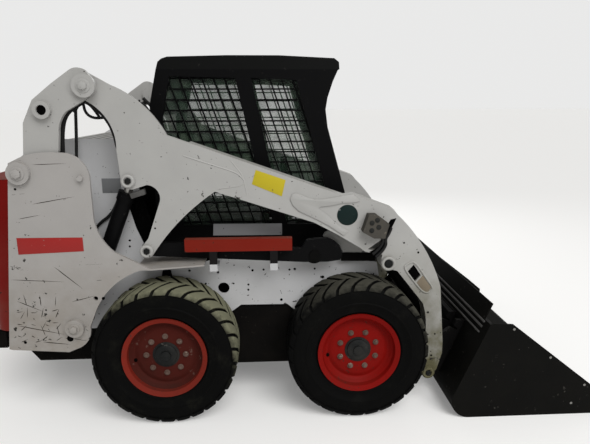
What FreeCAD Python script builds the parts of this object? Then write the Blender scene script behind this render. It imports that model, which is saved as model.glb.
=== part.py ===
"""Skid steer loader with vertical-lift arms, a bucket on its coupler, and an open mesh-sided cab.

Millimetres. +X is forward, +Y the machine's left side, +Z up. The origin is on the ground, in the middle
of the machine's length and width. Every size is a cell of the sheet "Sizes".
"""

import FreeCAD, Part
import math
import os

import Sketcher

doc = FreeCAD.newDocument("skid_steer_loader")
sheet = doc.addObject("Spreadsheet::Sheet", "Sizes")
VEC = FreeCAD.Vector

# Driving dimensions: name, value, meaning
SIZES = (
    ("rear_axle_x", -715, "rear axle, from the middle of the length"),
    ("wheelbase", 1029, "rear axle to front axle"),
    ("tyre_radius", 384, "over the lugs"),
    ("tyre_width", 264, "over the lugs"),
    ("wheel_middle_y", 706, "middle of the tyre"),
    ("tread_radius", 362, "tyre between the lugs"),
    ("lug_width", 44, "lug, across itself"),
    ("lug_length", 132, "lug, along itself"),
    ("lug_turn", 28, "lug, degrees from the wheel's own axis"),
    ("lug_count", 16, "lugs round each side of a tyre"),
    ("rim_radius", 222, "rim over its flanges"),
    ("bead_radius", 206, "tyre seat on the rim"),
    ("rim_wall", 9, "rim sheet"),
    ("rear_disc_offset", 10, "rear wheels' disc, outboard of the tyre's middle"),
    ("front_disc_offset", 48, "front wheels' disc, outboard of the tyre's middle"),
    ("rim_flange", 10, "rim flange's width"),
    ("hub_radius", 58, "wheel hub"),
    ("hub_end", 78, "hub's outer end outboard of the tyre's middle"),
    ("hub_inner", 74, "hub's inner end inboard of the tyre's middle"),
    ("axle_tube_radius", 62, "fixed axle tube"),
    ("seat_gap", 0.3, "gap between seated pieces of different bodies"),
    ("pin_gap", 0.2, "round a running pin"),
    ("side_outer_y", 560, "outer face of the side plates"),
    ("side_plate", 12, "side plate's thickness"),
    ("tower_outer_y", 772, "outer face of the towers"),
    ("tower_plate", 15, "tower plate's thickness"),
    ("link_outer_y", 750, "outer face of the rear links"),
    ("link_plate", 25, "rear link's thickness"),
    ("arm_outer_y", 715, "outer face of the lift arms"),
    ("arm_plate", 20, "arm web's thickness"),
    ("arm_width", 100, "arm box beam's width"),
    ("arm_foot_height", 412, "top of the arm's foot, over the coupler's pin"),
    ("control_outer_y", 684, "outer face of the control links"),
    ("control_plate", 30, "control link's thickness"),
    ("lift_cylinder_y", 637, "middle plane of the lift cylinders"),
    ("tilt_cylinder_y", 528, "middle plane of the tilt cylinders"),
    ("tower_pin_x", -1367, "rear link's pin on the tower"),
    ("tower_pin_z", 1359, "same, height"),
    ("link_pin_x", -1025, "arm's pin on the rear link"),
    ("link_pin_z", 1770, "same, height"),
    ("control_pin_x", -793, "arm's pin on the control link"),
    ("control_pin_z", 941, "same, height"),
    ("side_pin_x", 85, "control link's pin on the side plate"),
    ("side_pin_z", 890, "same, height"),
    ("lift_base_x", -1175, "lift cylinder's pin in the tower"),
    ("lift_base_z", 547, "same, height"),
    ("lift_eye_x", -863, "lift rod's eye on the arm"),
    ("lift_eye_z", 1308, "same, height"),
    ("tilt_base_x", 477, "tilt cylinder's pin on the arm"),
    ("tilt_base_z", 850, "same, height"),
    ("hinge_x", 729, "coupler's pin on the arm"),
    ("hinge_z", 202, "same, height"),
    ("tilt_eye_x", 839, "tilt rod's eye on the coupler"),
    ("tilt_eye_z", 342, "same, height"),
    ("pin_radius", 30, "main pins"),
    ("boss_radius", 55, "bosses round the main pins"),
    ("lift_barrel_radius", 40, "lift cylinder's barrel"),
    ("lift_rod_radius", 22.5, "lift cylinder's rod"),
    ("tilt_barrel_radius", 34, "tilt cylinder's barrel"),
    ("tilt_rod_radius", 19, "tilt cylinder's rod"),
    ("eye_width", 50, "cylinder eyes, along the pin"),
    ("tail_x", -1700, "rear end of the tailgate"),
    ("tailgate_wall", 22, "tailgate's wall"),
    ("tailgate_half_width", 590, "tailgate, from the middle"),
    ("tailgate_low_z", 455, "tailgate's lower edge"),
    ("tailgate_high_z", 1303, "tailgate's upper edge"),
    ("tub_half_width", 440, "outer face of the lower frame tub"),
    ("tub_wall", 10, "lower frame's plate"),
    ("belly_z", 195, "underside of the lower frame"),
    ("deck_z", 850, "underside of the deck"),
    ("deck_plate", 10, "deck's thickness"),
    ("front_x", 465, "front end of the lower frame"),
    ("hood_z", 1472, "underside of the rear hood"),
    ("hood_plate", 20, "rear hood's thickness"),
    ("cab_half_width", 450, "outer face of the cab's sides"),
    ("cab_wall", 25, "cab's side walls"),
    ("lever_lean", -2, "steering levers, degrees from upright"),
    ("cab_top_z", 1938, "top of the cab's roof"),
    ("roof_thickness", 72, "cab's roof"),
    ("cab_rear_x", -792, "cab's rear wall, outer face"),
    ("glass_thickness", 5, "cab's panes"),
    ("mesh_bar", 6, "bars of the side screens"),
    ("mesh_pitch_along", 61, "slanted bars, centre to centre"),
    ("mesh_pitch_up", 57, "level bars, centre to centre"),
    ("mesh_lean", 18.6, "slanted bars, degrees from upright"),
    ("bucket_half_width", 864, "bucket, from the middle"),
    ("bucket_plate", 10, "bucket's shell"),
    ("bucket_side", 12, "bucket's side plates"),
    ("bucket_tip_x", 1700, "bucket's cutting edge"),
    ("bucket_heel_x", 811, "low point of the bucket's back, on its line"),
    ("bucket_heel_z", 89, "same, height"),
    ("heel_radius", 100, "bucket's rounding between floor and back"),
    ("bucket_top_x", 1004, "top of the bucket's back"),
    ("bucket_top_z", 544, "same, height"),
    ("cross_tube_x", 414, "arms' cross tube"),
    ("cross_tube_z", 953, "same, height"),
    ("cross_tube_radius", 62, "same, radius"),
    ("seat_top_z", 1000, "seat cushion's top"),
)


class Size:
    """A length worked out from the sheet: its value, and the same sum as the sheet's own expression."""

    def __init__(self, value, text):
        self.value, self.text = value, text

    def join(self, other, mark, value, swapped=False):
        """The sum of this length and another, or a number, under the given operator."""
        texts = (self.text, other.text if isinstance(other, Size) else repr(other))
        first, second = reversed(texts) if swapped else texts
        return Size(value, f"({first} {mark} {second})")

    def __add__(self, other):
        return self.join(other, "+", self.value + number(other))

    def __radd__(self, other):
        return self.join(other, "+", self.value + number(other), True)

    def __sub__(self, other):
        return self.join(other, "-", self.value - number(other))

    def __rsub__(self, other):
        return self.join(other, "-", number(other) - self.value, True)

    def __mul__(self, other):
        return self.join(other, "*", self.value * number(other))

    def __rmul__(self, other):
        return self.join(other, "*", self.value * number(other), True)

    def __truediv__(self, other):
        return self.join(other, "/", self.value / number(other))

    def __rtruediv__(self, other):
        return self.join(other, "/", number(other) / self.value, True)

    def __neg__(self):
        return Size(-self.value, f"(-{self.text})")


def number(size):
    """The plain value of a length or of a number."""
    return size.value if isinstance(size, Size) else size


class Sheet:
    """The driving dimensions, each as an attribute."""


S = Sheet()
for row, (alias, value, meaning) in enumerate(SIZES, 1):
    sheet.set(f"A{row}", meaning)
    sheet.set(f"B{row}", str(value))
    sheet.setAlias(f"B{row}", alias)
doc.recompute()
for alias, _, _ in SIZES:
    setattr(S, alias, Size(float(sheet.get(alias)), f"Sizes.{alias}"))


def root_of(square):
    """Square root of a sum."""
    return Size(math.sqrt(square.value), f"sqrt({square.text})")


def bearing(across, up):
    """Angle from upright of a direction in the XZ plane, in degrees, turning towards +X."""
    return Size(math.degrees(math.atan2(across.value, up.value)), f"atan2({across.text}; {up.text})")


def sine(angle):
    """Sine of an angle in degrees."""
    return Size(math.sin(math.radians(angle.value)), f"sin({angle.text})")


def cosine(angle):
    """Cosine of an angle in degrees."""
    return Size(math.cos(math.radians(angle.value)), f"cos({angle.text})")


def bind(thing, path, size):
    """Set a property of an object, tied to the sheet where it comes from there."""
    if isinstance(size, Size):
        thing.setExpression(path, size.text)
    elif path.startswith("Placement."):
        thing.setExpression(path, repr(float(size)))
    else:
        setattr(thing, path, size)


nodes = {}


def node(label, thing):
    """Name a finished sub-part: its label is its file's name."""
    thing.Label = label
    nodes[label] = thing
    return thing


def fuse(name, *pieces):
    """Pieces welded into one."""
    whole = doc.addObject("Part::MultiFuse", name)
    whole.Shapes = list(pieces)
    return whole


def cut(name, base, *tools):
    """A piece with others taken out of it."""
    tool = tools[0] if len(tools) == 1 else fuse(name + "_tools", *tools)
    whole = doc.addObject("Part::Cut", name)
    whole.Base, whole.Tool = base, tool
    return whole


def group(name, *pieces):
    """Like pieces of one body, side by side in one node."""
    whole = doc.addObject("Part::Compound", name)
    whole.Links = list(pieces)
    return whole


def box(name, across, along, up):
    """Box from (low, high) pairs in X, Y and Z."""
    solid = doc.addObject("Part::Box", name)
    for axis, side, (low, high) in zip("xyz", ("Length", "Width", "Height"), (across, along, up)):
        bind(solid, side, high - low)
        bind(solid, f"Placement.Base.{axis}", low)
    return solid


TURNS = {"x": (VEC(0, 1, 0), 90), "y": (VEC(1, 0, 0), -90), "z": (VEC(0, 0, 1), 0)}


def cylinder(name, along, centre, radius, low, high):
    """Cylinder along one axis, from low to high, its centre given on the other two axes in X, Y, Z order."""
    solid = doc.addObject("Part::Cylinder", name)
    solid.Placement = FreeCAD.Placement(VEC(), FreeCAD.Rotation(*TURNS[along]))
    bind(solid, "Radius", radius)
    bind(solid, "Height", high - low)
    others = iter(centre)
    for axis in "xyz":
        bind(solid, f"Placement.Base.{axis}", low if axis == along else next(others))
    return solid


def lean(thing, x, y, z, angle):
    """Turn a piece about Y by an angle in degrees and stand it at a place."""
    thing.Placement = FreeCAD.Placement(VEC(), FreeCAD.Rotation(VEC(0, 1, 0), 1))
    bind(thing, "Placement.Rotation.Angle", angle)
    for axis, place in zip("xyz", (x, y, z)):
        bind(thing, f"Placement.Base.{axis}", place)
    return thing


def rod(name, start, direction, y, radius, near, far):
    """Round bar in the XZ plane's direction, from near to far along it."""
    solid = doc.addObject("Part::Cylinder", name)
    bind(solid, "Radius", radius)
    bind(solid, "Height", far - near)
    return lean(solid, start[0] + sine(direction) * near, y, start[1] + cosine(direction) * near, direction)


PLANES = {"XZ": "XZ_Plane", "XY": "XY_Plane", "YZ": "YZ_Plane"}


def place_point(sketch, geometry, vertex, point):
    """Hold a vertex of a sketch at a place from the sheet."""
    for kind, size in zip(("DistanceX", "DistanceY"), point):
        held = sketch.addConstraint(Sketcher.Constraint(kind, -1, 1, geometry, vertex, number(size)))
        if isinstance(size, Size):
            sketch.setExpression(f"Constraints[{held}]", size.text)


def draw_outline(sketch, outline):
    """Closed outline in a sketch. A row is (across, up), or (across, up, "via") for a point that the arc
    from the row before to the row after passes through."""
    corners = [row[:2] for row in outline if len(row) == 2]
    edges = []
    for index, row in enumerate(outline):
        if len(row) == 3:
            continue
        after = outline[(index + 1) % len(outline)]
        via = after[:2] if len(after) == 3 else None
        end = outline[(index + 2) % len(outline)] if via else after
        edges.append((row, via, end))
    joints = []
    for start, via, end in edges:
        flat = [VEC(number(p[0]), number(p[1]), 0) for p in (start, via or start, end)]
        if via:
            edge = sketch.addGeometry(Part.Arc(*flat))
            backwards = sketch.getPoint(edge, 1).distanceToPoint(flat[0]) > 1e-4
            joints.append((edge, 2, 1) if backwards else (edge, 1, 2))
            through = sketch.addGeometry(Part.Point(flat[1]), True)
            place_point(sketch, through, 1, via)
            sketch.addConstraint(Sketcher.Constraint("PointOnObject", through, 1, edge))
        else:
            joints.append((sketch.addGeometry(Part.LineSegment(flat[0], flat[2])), 1, 2))
    for (edge, _, last), (following, first, _) in zip(joints, joints[1:] + joints[:1]):
        sketch.addConstraint(Sketcher.Constraint("Coincident", edge, last, following, first))
    for (edge, first, _), corner in zip(joints, corners):
        place_point(sketch, edge, first, corner)


def draw_circle(sketch, hole):
    """Circle in a sketch from (across, up, radius)."""
    across, up, radius = hole
    ring = sketch.addGeometry(Part.Circle(VEC(number(across), number(up), 0), VEC(0, 0, 1), number(radius)))
    place_point(sketch, ring, 3, (across, up))
    held = sketch.addConstraint(Sketcher.Constraint("Radius", ring, number(radius)))
    if isinstance(radius, Size):
        sketch.setExpression(f"Constraints[{held}]", radius.text)


def flat_sketch(body, name, plane, offset):
    """Sketch on one of a body's own planes, moved along the plane's normal."""
    sketch = body.newObject("Sketcher::SketchObject", name)
    sketch.AttachmentSupport = [(next(f for f in body.Origin.OriginFeatures if f.Role == PLANES[plane]), "")]
    sketch.MapMode = "FlatFace"
    if isinstance(offset, Size):
        sketch.setExpression("AttachmentOffset.Base.z", offset.text)
    else:
        sketch.AttachmentOffset = FreeCAD.Placement(VEC(0, 0, offset), FreeCAD.Rotation())
    return sketch


def plate(name, plane, low, high, outline, holes=(), openings=()):
    """Flat piece: an outline on a plane, with round holes and outlined openings, from low to high across it."""
    body = doc.addObject("PartDesign::Body", name)
    sketch = flat_sketch(body, name + "_outline", plane, -high if plane == "XZ" else low)
    draw_outline(sketch, outline)
    for opening in openings:
        draw_outline(sketch, opening)
    for hole in holes:
        draw_circle(sketch, hole)
    pad = body.newObject("PartDesign::Pad", name + "_pad")
    pad.Profile = sketch
    bind(pad, "Length", high - low)
    return body


def span(sign, inner, outer):
    """The (low, high) pair in Y of a piece between two distances from the middle, on one side."""
    return (inner, outer) if sign > 0 else (-outer, -inner)


def shift(x, z, rows):
    """Rows of an outline, moved to a pin."""
    return [(x + row[0], z + row[1]) + tuple(row[2:]) for row in rows]


SIDES = (("left", 1), ("right", -1))
AXLES = (("rear", S.rear_axle_x), ("front", S.rear_axle_x + S.wheelbase))
axle_z = S.tyre_radius
front_axle_x = S.rear_axle_x + S.wheelbase
tower_pin = (S.tower_pin_x, S.tower_pin_z)
link_pin = (S.link_pin_x, S.link_pin_z)
control_pin = (S.control_pin_x, S.control_pin_z)
side_pin = (S.side_pin_x, S.side_pin_z)
lift_base = (S.lift_base_x, S.lift_base_z)
lift_eye = (S.lift_eye_x, S.lift_eye_z)
tilt_base = (S.tilt_base_x, S.tilt_base_z)
tilt_eye = (S.tilt_eye_x, S.tilt_eye_z)
hinge = (S.hinge_x, S.hinge_z)


def arch(angle, gap, axle_x):
    """Point round an axle, at an angle from forward and a gap outside the tyre."""
    turn = math.radians(angle)
    reach = S.tyre_radius + gap
    return (axle_x + reach * math.cos(turn), axle_z + reach * math.sin(turn))


# Wheels: one tyre and one rim, drawn about the origin and placed four times
def revolve(body, name, outline):
    """Turn a half section, given as (y, radius) rows, about the Y axis."""
    sketch = flat_sketch(body, name + "_section", "YZ", 0)
    draw_outline(sketch, outline)
    turned = body.newObject("PartDesign::Revolution", name + "_turned")
    turned.Profile = sketch
    turned.ReferenceAxis = (sketch, ["H_Axis"])
    turned.Angle = 360
    return sketch


def bind_angle(thing, angle):
    """Tie the turn of an attached piece to the sheet."""
    thing.setExpression("AttachmentOffset.Rotation.Angle", angle.text if isinstance(angle, Size) else str(angle))


def make_tyre():
    """Tyre with slanted lugs, mirrored from side to side and staggered."""
    body = doc.addObject("PartDesign::Body", "tyre_form")
    half = S.tyre_width / 2
    sketch = revolve(body, "tyre", [
        (-half + 26, S.bead_radius), (-half + 12, S.bead_radius + 30), (-half + 4, S.tread_radius - 70),
        (-half + 14, S.tread_radius - 14), (-half + 34, S.tread_radius), (half - 34, S.tread_radius),
        (half - 14, S.tread_radius - 14), (half - 4, S.tread_radius - 70), (half - 12, S.bead_radius + 30),
        (half - 26, S.bead_radius)])
    for name, sign in (("outer", 1), ("inner", -1)):
        level = body.newObject("PartDesign::Plane", f"{name}_lug_plane")
        level.AttachmentSupport = [(next(f for f in body.Origin.OriginFeatures if f.Role == "XY_Plane"), "")]
        level.MapMode = "FlatFace"
        level.AttachmentOffset = FreeCAD.Placement(VEC(), FreeCAD.Rotation(VEC(0, 1, 0), 1))
        bind_angle(level, 0 if sign > 0 else 180 / S.lug_count)
        lug = body.newObject("PartDesign::AdditiveBox", f"{name}_lug")
        lug.AttachmentSupport = [(level, "")]
        lug.MapMode = "FlatFace"
        turn = S.lug_turn * sign
        bind(lug, "Length", S.lug_width)
        bind(lug, "Width", S.lug_length)
        lug_base = S.tread_radius - 18
        lug_top = S.tyre_radius + 8
        bind(lug, "Height", lug_top - lug_base)
        lug.AttachmentOffset = FreeCAD.Placement(VEC(), FreeCAD.Rotation(VEC(0, 0, 1), 1))
        bind_angle(lug, turn)
        middle_y = (half - S.lug_length / 2 * cosine(turn) - S.lug_width / 2 * sine(S.lug_turn)) * sign
        corner_x = -(S.lug_width / 2 * cosine(turn)) + S.lug_length / 2 * sine(turn)
        corner_y = middle_y - S.lug_width / 2 * sine(turn) - S.lug_length / 2 * cosine(turn)
        lug.setExpression("AttachmentOffset.Base.x", corner_x.text)
        lug.setExpression("AttachmentOffset.Base.y", corner_y.text)
        lug.setExpression("AttachmentOffset.Base.z", lug_base.text)
        ring = body.newObject("PartDesign::PolarPattern", f"{name}_lugs")
        ring.Originals = [lug]
        ring.Axis = (sketch, ["H_Axis"])
        ring.Angle = 360
        bind(ring, "Occurrences", S.lug_count)
        body.Tip = ring
    round_tops = cylinder("tyre_limit", "y", (0, 0), S.tyre_radius, -half - 5, half + 5)
    tyre = doc.addObject("Part::Common", "tyre_whole")
    tyre.Base, tyre.Tool = body, round_tops
    return tyre


def make_rim(axle, disc_offset):
    """Dished wheel with its hub."""
    body = doc.addObject("PartDesign::Body", f"{axle}_rim_form")
    half = S.tyre_width / 2 - 26
    seat = S.bead_radius - S.seat_gap
    lip, lip_end = half + 8.5, half + 8.5 + S.rim_flange
    revolve(body, f"{axle}_rim", [
        (-half, seat), (-lip, S.rim_radius), (-lip_end, S.rim_radius), (-half - 8, seat - S.rim_wall),
        (disc_offset - 6, seat - S.rim_wall - 22), (disc_offset - 20, S.hub_radius + 60),
        (disc_offset - 20, S.hub_radius), (-S.hub_inner, S.hub_radius), (-S.hub_inner, 0), (S.hub_end, 0),
        (S.hub_end, S.hub_radius - 22), (S.hub_end - 16, S.hub_radius), (disc_offset - 8, S.hub_radius),
        (disc_offset - 8, S.hub_radius + 64), (disc_offset + 6, seat - S.rim_wall - 14),
        (half + 8, seat - S.rim_wall), (lip_end, S.rim_radius), (lip, S.rim_radius), (half, seat)])
    return body


tyre_form = make_tyre()
for axle, axle_x in AXLES:
    rim_form = make_rim(axle, S.rear_disc_offset if axle == "rear" else S.front_disc_offset)
    for side, sign in SIDES:
        for kind, form in (("tyre", tyre_form), ("rim", rim_form)):
            wheel = group(f"{kind}_{axle}_{side}", form)
            facing = 0 if sign > 0 else 180
            wheel.Placement = FreeCAD.Placement(VEC(), FreeCAD.Rotation(VEC(0, 0, 1), facing))
            for place, size in zip("xyz", (axle_x, S.wheel_middle_y * sign, axle_z)):
                bind(wheel, f"Placement.Base.{place}", size)
            node(f"{kind}_{axle}_{side}", wheel)

plate_inner_y = S.side_outer_y - S.side_plate
hub_inner_y = S.wheel_middle_y - S.hub_inner
tubes = []
for axle, axle_x in AXLES:
    for side, sign in SIDES:
        low, high = span(sign, plate_inner_y, hub_inner_y - S.seat_gap)
        tubes.append(cylinder(f"axle_tube_{axle}_{side}", "y", (axle_x, axle_z), S.axle_tube_radius, low, high))
node("axle_tubes", group("axle_tube_set", *tubes))

# Lower frame: tub between the chain cases, chain cases, side plates, deck
tub_rear_x = S.tail_x + 60
tub_step_x, tub_step_z = S.tail_x + 180, S.tailgate_low_z - 12
wall = S.tub_wall
tub_profile = [
    (tub_rear_x, 340), (tub_rear_x + 110, S.belly_z), (S.front_x - 90, S.belly_z), (S.front_x, 320),
    (S.front_x, S.deck_z), (tub_step_x, S.deck_z), (tub_step_x, tub_step_z), (tub_rear_x, tub_step_z)]
tub_hollow = [
    (tub_rear_x + wall, 345), (tub_rear_x + 115, S.belly_z + wall), (S.front_x - 95, S.belly_z + wall),
    (S.front_x - wall, 325), (S.front_x - wall, S.deck_z + 50), (tub_step_x + wall, S.deck_z + 50),
    (tub_step_x + wall, tub_step_z - wall), (tub_rear_x + wall, tub_step_z - wall)]
tub_outer = plate("tub_outer", "XZ", -S.tub_half_width, S.tub_half_width, tub_profile)
tub_inner = plate("tub_inner", "XZ", -S.tub_half_width + wall, S.tub_half_width - wall, tub_hollow)
rear_open = box("tub_rear_opening", (tub_step_x - 20, tub_step_x + 20), (-S.tub_half_width + 40, S.tub_half_width - 40),
                (tub_step_z + 22, S.deck_z + 50))
node("lower_frame", cut("lower_frame_tub", tub_outer, tub_inner, rear_open))

case_outline = [
    (S.rear_axle_x - 240, axle_z - 120), (S.rear_axle_x - 180, S.belly_z + 6),
    (front_axle_x + 140, S.belly_z + 6), (front_axle_x + 215, axle_z - 90),
    (front_axle_x + 215, axle_z + 180), (S.rear_axle_x - 240, axle_z + 180)]
for side, sign in SIDES:
    low, high = span(sign, S.tub_half_width, plate_inner_y)
    node(f"chain_case_{side}", plate(f"chain_case_{side}_body", "XZ", low, high, case_outline))

# Side plates with the inner uprights behind the towers
side_outline = (
    [(S.front_x, 530), (S.front_x, 727), (S.front_x - 14, 808), (S.side_pin_x + 62, 850),
     (S.side_pin_x + 50, S.side_pin_z), (S.side_pin_x, S.side_pin_z + 50, "via"), (S.side_pin_x - 50, S.side_pin_z),
     (S.side_pin_x - 62, 862), (S.front_x - 890, 856), (S.front_x - 987, 824), (S.control_pin_x + 22, 827)]
    + shift(*control_pin, [(-7, 110), (-67, 330), (-72, 545), (-110, 567)])
    + shift(*tower_pin, [(220, 149), (60, 149), (-40, 90), (-48, 48), (-159, -925)])
    + [(S.rear_axle_x - 330, 450), (S.rear_axle_x + 340, 530), (S.rear_axle_x + 392, 568),
       (S.rear_axle_x + 657, 566), (S.rear_axle_x + 698, 530)])
# Holes of the side plates: forward of the rear axle, below the deck, radius
SIDE_HOLES = ((297, 179, 32), (109, 74, 8), (267, 87, 8), (699, 76, 8), (858, 127, 10))
for side, sign in SIDES:
    low, high = span(sign, plate_inner_y, S.side_outer_y)
    holes = [(*tower_pin, S.pin_radius), (*lift_base, S.pin_radius), (*side_pin, S.pin_radius)]
    holes += [(S.rear_axle_x + across, S.deck_z - below, radius) for across, below, radius in SIDE_HOLES]
    node(f"side_plate_{side}",
         plate(f"side_plate_{side}_body", "XZ", low, high, side_outline, holes=holes))

deck_low, deck_high = S.deck_z, S.deck_z + S.deck_plate
well_half = S.cab_half_width - 30
deck_half = plate_inner_y - S.seat_gap
notch_x = S.tilt_base_x - S.tilt_barrel_radius - 23
notch_y = S.tilt_cylinder_y - S.eye_width / 2 - 21
deck_outline = [
    (S.cab_rear_x - 30, -deck_half), (notch_x, -deck_half), (notch_x, -notch_y), (S.front_x, -notch_y),
    (S.front_x, notch_y), (notch_x, notch_y), (notch_x, deck_half), (S.cab_rear_x - 30, deck_half)]
deck_well = [(S.cab_rear_x + 40, -well_half), (S.front_x - 40, -well_half), (S.front_x - 40, well_half),
             (S.cab_rear_x + 40, well_half)]
node("deck", plate("deck_body", "XY", deck_low, deck_high, deck_outline, openings=[deck_well]))

# Towers: outer plate, rear strip, fender shelf over the rear tyre, pins
tower_outline = (
    shift(*tower_pin, [(-48, 48), (28, 84), (116, 99, "via"), (202, 97), (300, 55, "via"), (333, -42),
                       (334, -233), (366, -338, "via"), (423, -409), (596, -501)])
    + [arch(104, 95, S.rear_axle_x), (*arch(126, 72, S.rear_axle_x), "via"), arch(146, 42, S.rear_axle_x),
       arch(157, 34, S.rear_axle_x)]
    + shift(*lift_base, [(66, -62, "via"), (0, -120), (-46, -139), (-333, -118)])
    + shift(*tower_pin, [(-159, -925)]))
strip_outline = shift(*tower_pin, [(-56, -30), (-44, -30), (-146, -924), (-159, -924)])
shelf_rows = [(S.tower_pin_x + 525, S.deck_z + 14), (S.tower_pin_x + 596, S.deck_z + 8),
              (S.rear_axle_x + 219, S.deck_z + 26), (S.rear_axle_x + 219, S.deck_z + 18),
              (S.tower_pin_x + 596, S.deck_z), (S.tower_pin_x + 525, S.deck_z + 6)]
for side, sign in SIDES:
    low, high = span(sign, S.tower_outer_y - S.tower_plate, S.tower_outer_y)
    outer = plate(f"tower_plate_{side}", "XZ", low, high, tower_outline,
                  holes=[(S.lift_base_x - 34, S.lift_base_z - 62, 17), (S.lift_base_x + 117, S.lift_base_z + 158, 12)])
    low, high = span(sign, S.side_outer_y + S.seat_gap, S.tower_outer_y - S.tower_plate)
    strip = plate(f"tower_strip_{side}", "XZ", low, high, strip_outline)
    low, high = span(sign, S.side_outer_y + S.seat_gap, S.tower_outer_y)
    shelf = plate(f"fender_{side}", "XZ", low, high, shelf_rows)
    low, high = span(sign, S.side_outer_y - S.side_plate, S.tower_outer_y)
    pins = [cylinder(f"{kind}_pin_{side}", "y", place, S.pin_radius - 0.05, low, high)
            for kind, place in (("link", tower_pin), ("lift", lift_base))]
    low, high = span(sign, S.tower_outer_y, S.tower_outer_y + 22)
    pins += [cylinder(f"{kind}_boss_{side}", "y", place, radius, low, high)
             for kind, place, radius in (("link", tower_pin, S.boss_radius), ("lift", lift_base, S.boss_radius - 7),
                                         ("stop", (S.tower_pin_x + 291, S.tower_pin_z - 27), 14))]
    node(f"tower_{side}", fuse(f"tower_{side}_welded", outer, strip, shelf, *pins))

# Control links' pins, on brackets of the side plates
brackets = []
for side, sign in SIDES:
    low, high = span(sign, S.side_outer_y - S.side_plate, S.control_outer_y + 6)
    pin = cylinder(f"side_pin_{side}", "y", side_pin, S.pin_radius - 0.05, low, high)
    low, high = span(sign, S.side_outer_y + S.seat_gap, S.control_outer_y - S.control_plate - S.seat_gap)
    collar = cylinder(f"side_collar_{side}", "y", side_pin, S.boss_radius, low, high)
    brackets.append(fuse(f"side_bracket_{side}", pin, collar))
node("control_link_pins", group("control_link_pin_set", *brackets))

# Control links, rear links
control_links = []
for side, sign in SIDES:
    low, high = span(sign, S.control_outer_y - S.control_plate, S.control_outer_y)
    outline = shift(*control_pin, [(0, 38), (-38, 0, "via"), (0, -38)]) + shift(*side_pin, [
        (-60, -36), (69, -37), (136, -28), (148, 4, "via"), (141, 36), (113, 71), (71, 93), (0, 92), (-45, 84),
        (-72, 40)])
    control_links.append(plate(f"control_link_{side}", "XZ", low, high, outline,
                               holes=[(*side_pin, S.pin_radius + S.pin_gap), (*control_pin, S.pin_radius - 6 + S.pin_gap)]))
node("control_links", group("control_link_pair", *control_links))

LINK_LOWER = ((189, 104), (150, 30), (40, -45), (-6, -49, "via"), (-47, -10), (-47, 30), (20, 87))
LINK_UPPER = ((-306, -172), (-253, -65), (-156, 11), (-67, 73), (-30, 84, "via"), (10, 68), (47, 18),
              (40, -24), (-15, -71), (-98, -119), (-128, -160, "via"), (-143, -220))
rear_links = []
for side, sign in SIDES:
    low, high = span(sign, S.link_outer_y - S.link_plate, S.link_outer_y)
    outline = shift(*link_pin, LINK_UPPER) + shift(*tower_pin, LINK_LOWER)
    tube_place = (S.tower_pin_x + 137, S.tower_pin_z + 299)
    body = plate(f"rear_link_plate_{side}", "XZ", low, high, outline,
                 holes=[(*tower_pin, S.pin_radius + S.pin_gap), (*tube_place, 24)])
    low, high = span(sign, S.link_outer_y, S.link_outer_y + 26)
    ring = cut(f"tube_boss_{side}", cylinder(f"tube_boss_round_{side}", "y", tube_place, 42, low, high),
               cylinder(f"tube_boss_hole_{side}", "y", tube_place, 24, low - 5, high + 5))
    boss = cylinder(f"link_top_boss_{side}", "y", link_pin, S.boss_radius, low, high)
    rear_links.append(fuse(f"rear_link_{side}", body, ring, boss))
node("rear_links", group("rear_link_pair", *rear_links))

# Lift arms: web plate, box beam, bosses, pins; the foot below the elbow is a piece of its own
FOOT_FRONT, FOOT_REAR = (53.3, S.arm_foot_height), (-48, S.arm_foot_height)
ARM_FRONT = ((-489, 1013), (-438, 1020), (-234, 943), (-210, 913), (-82, 765, "via"), (44, 507), FOOT_FRONT, FOOT_REAR)
FOOT_ROWS = (FOOT_FRONT, (76, 181), (77, 112), (54, 25), (32, -18, "via"), (1, -39), (-24, -30, "via"), (-29, -11),
             (-25, 54), (-15, 98), (-24, 269), (-31, 345, "via"), FOOT_REAR)
arm_outline = (
    shift(*link_pin, [(-16, -68), (-64, 5, "via"), (10, 60), (104, 7), (262, -95, "via"), (366, -236)])
    + shift(*hinge, ARM_FRONT)
    + shift(*tilt_base, [(54, -47), (20, -37), (-28, -28, "via"), (-38, 12), (-31, 46), (-126, 65),
                         (-149, 84), (-279, 164), (-398, 228)])
    + shift(*control_pin, [(361, 307), (182, 162, "via"), (25, -30), (-27, -28, "via"), (-38, 5), (10, 65),
                           (77, 249), (66, 322, "via"), (20, 345)])
    + shift(*lift_eye, [(22, -44), (-20, -32, "via"), (-37, 0)])
    + shift(*link_pin, [(115, -305), (80, -156, "via")]))
beam_outline = (
    shift(*link_pin, [(470, -273)])
    + shift(*hinge, ARM_FRONT)
    + shift(*tilt_base, [(54, -47), (20, -37), (-28, -28, "via"), (-38, 12), (-31, 46), (-126, 65),
                         (-149, 84), (-279, 164), (-398, 228)])
    + shift(*control_pin, [(361, 307)]))
notch_outline = shift(*tilt_base, [(-112, 78), (-48, 124), (-13, 168), (38, 249), (-9, 141), (-27, 60)])
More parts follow.
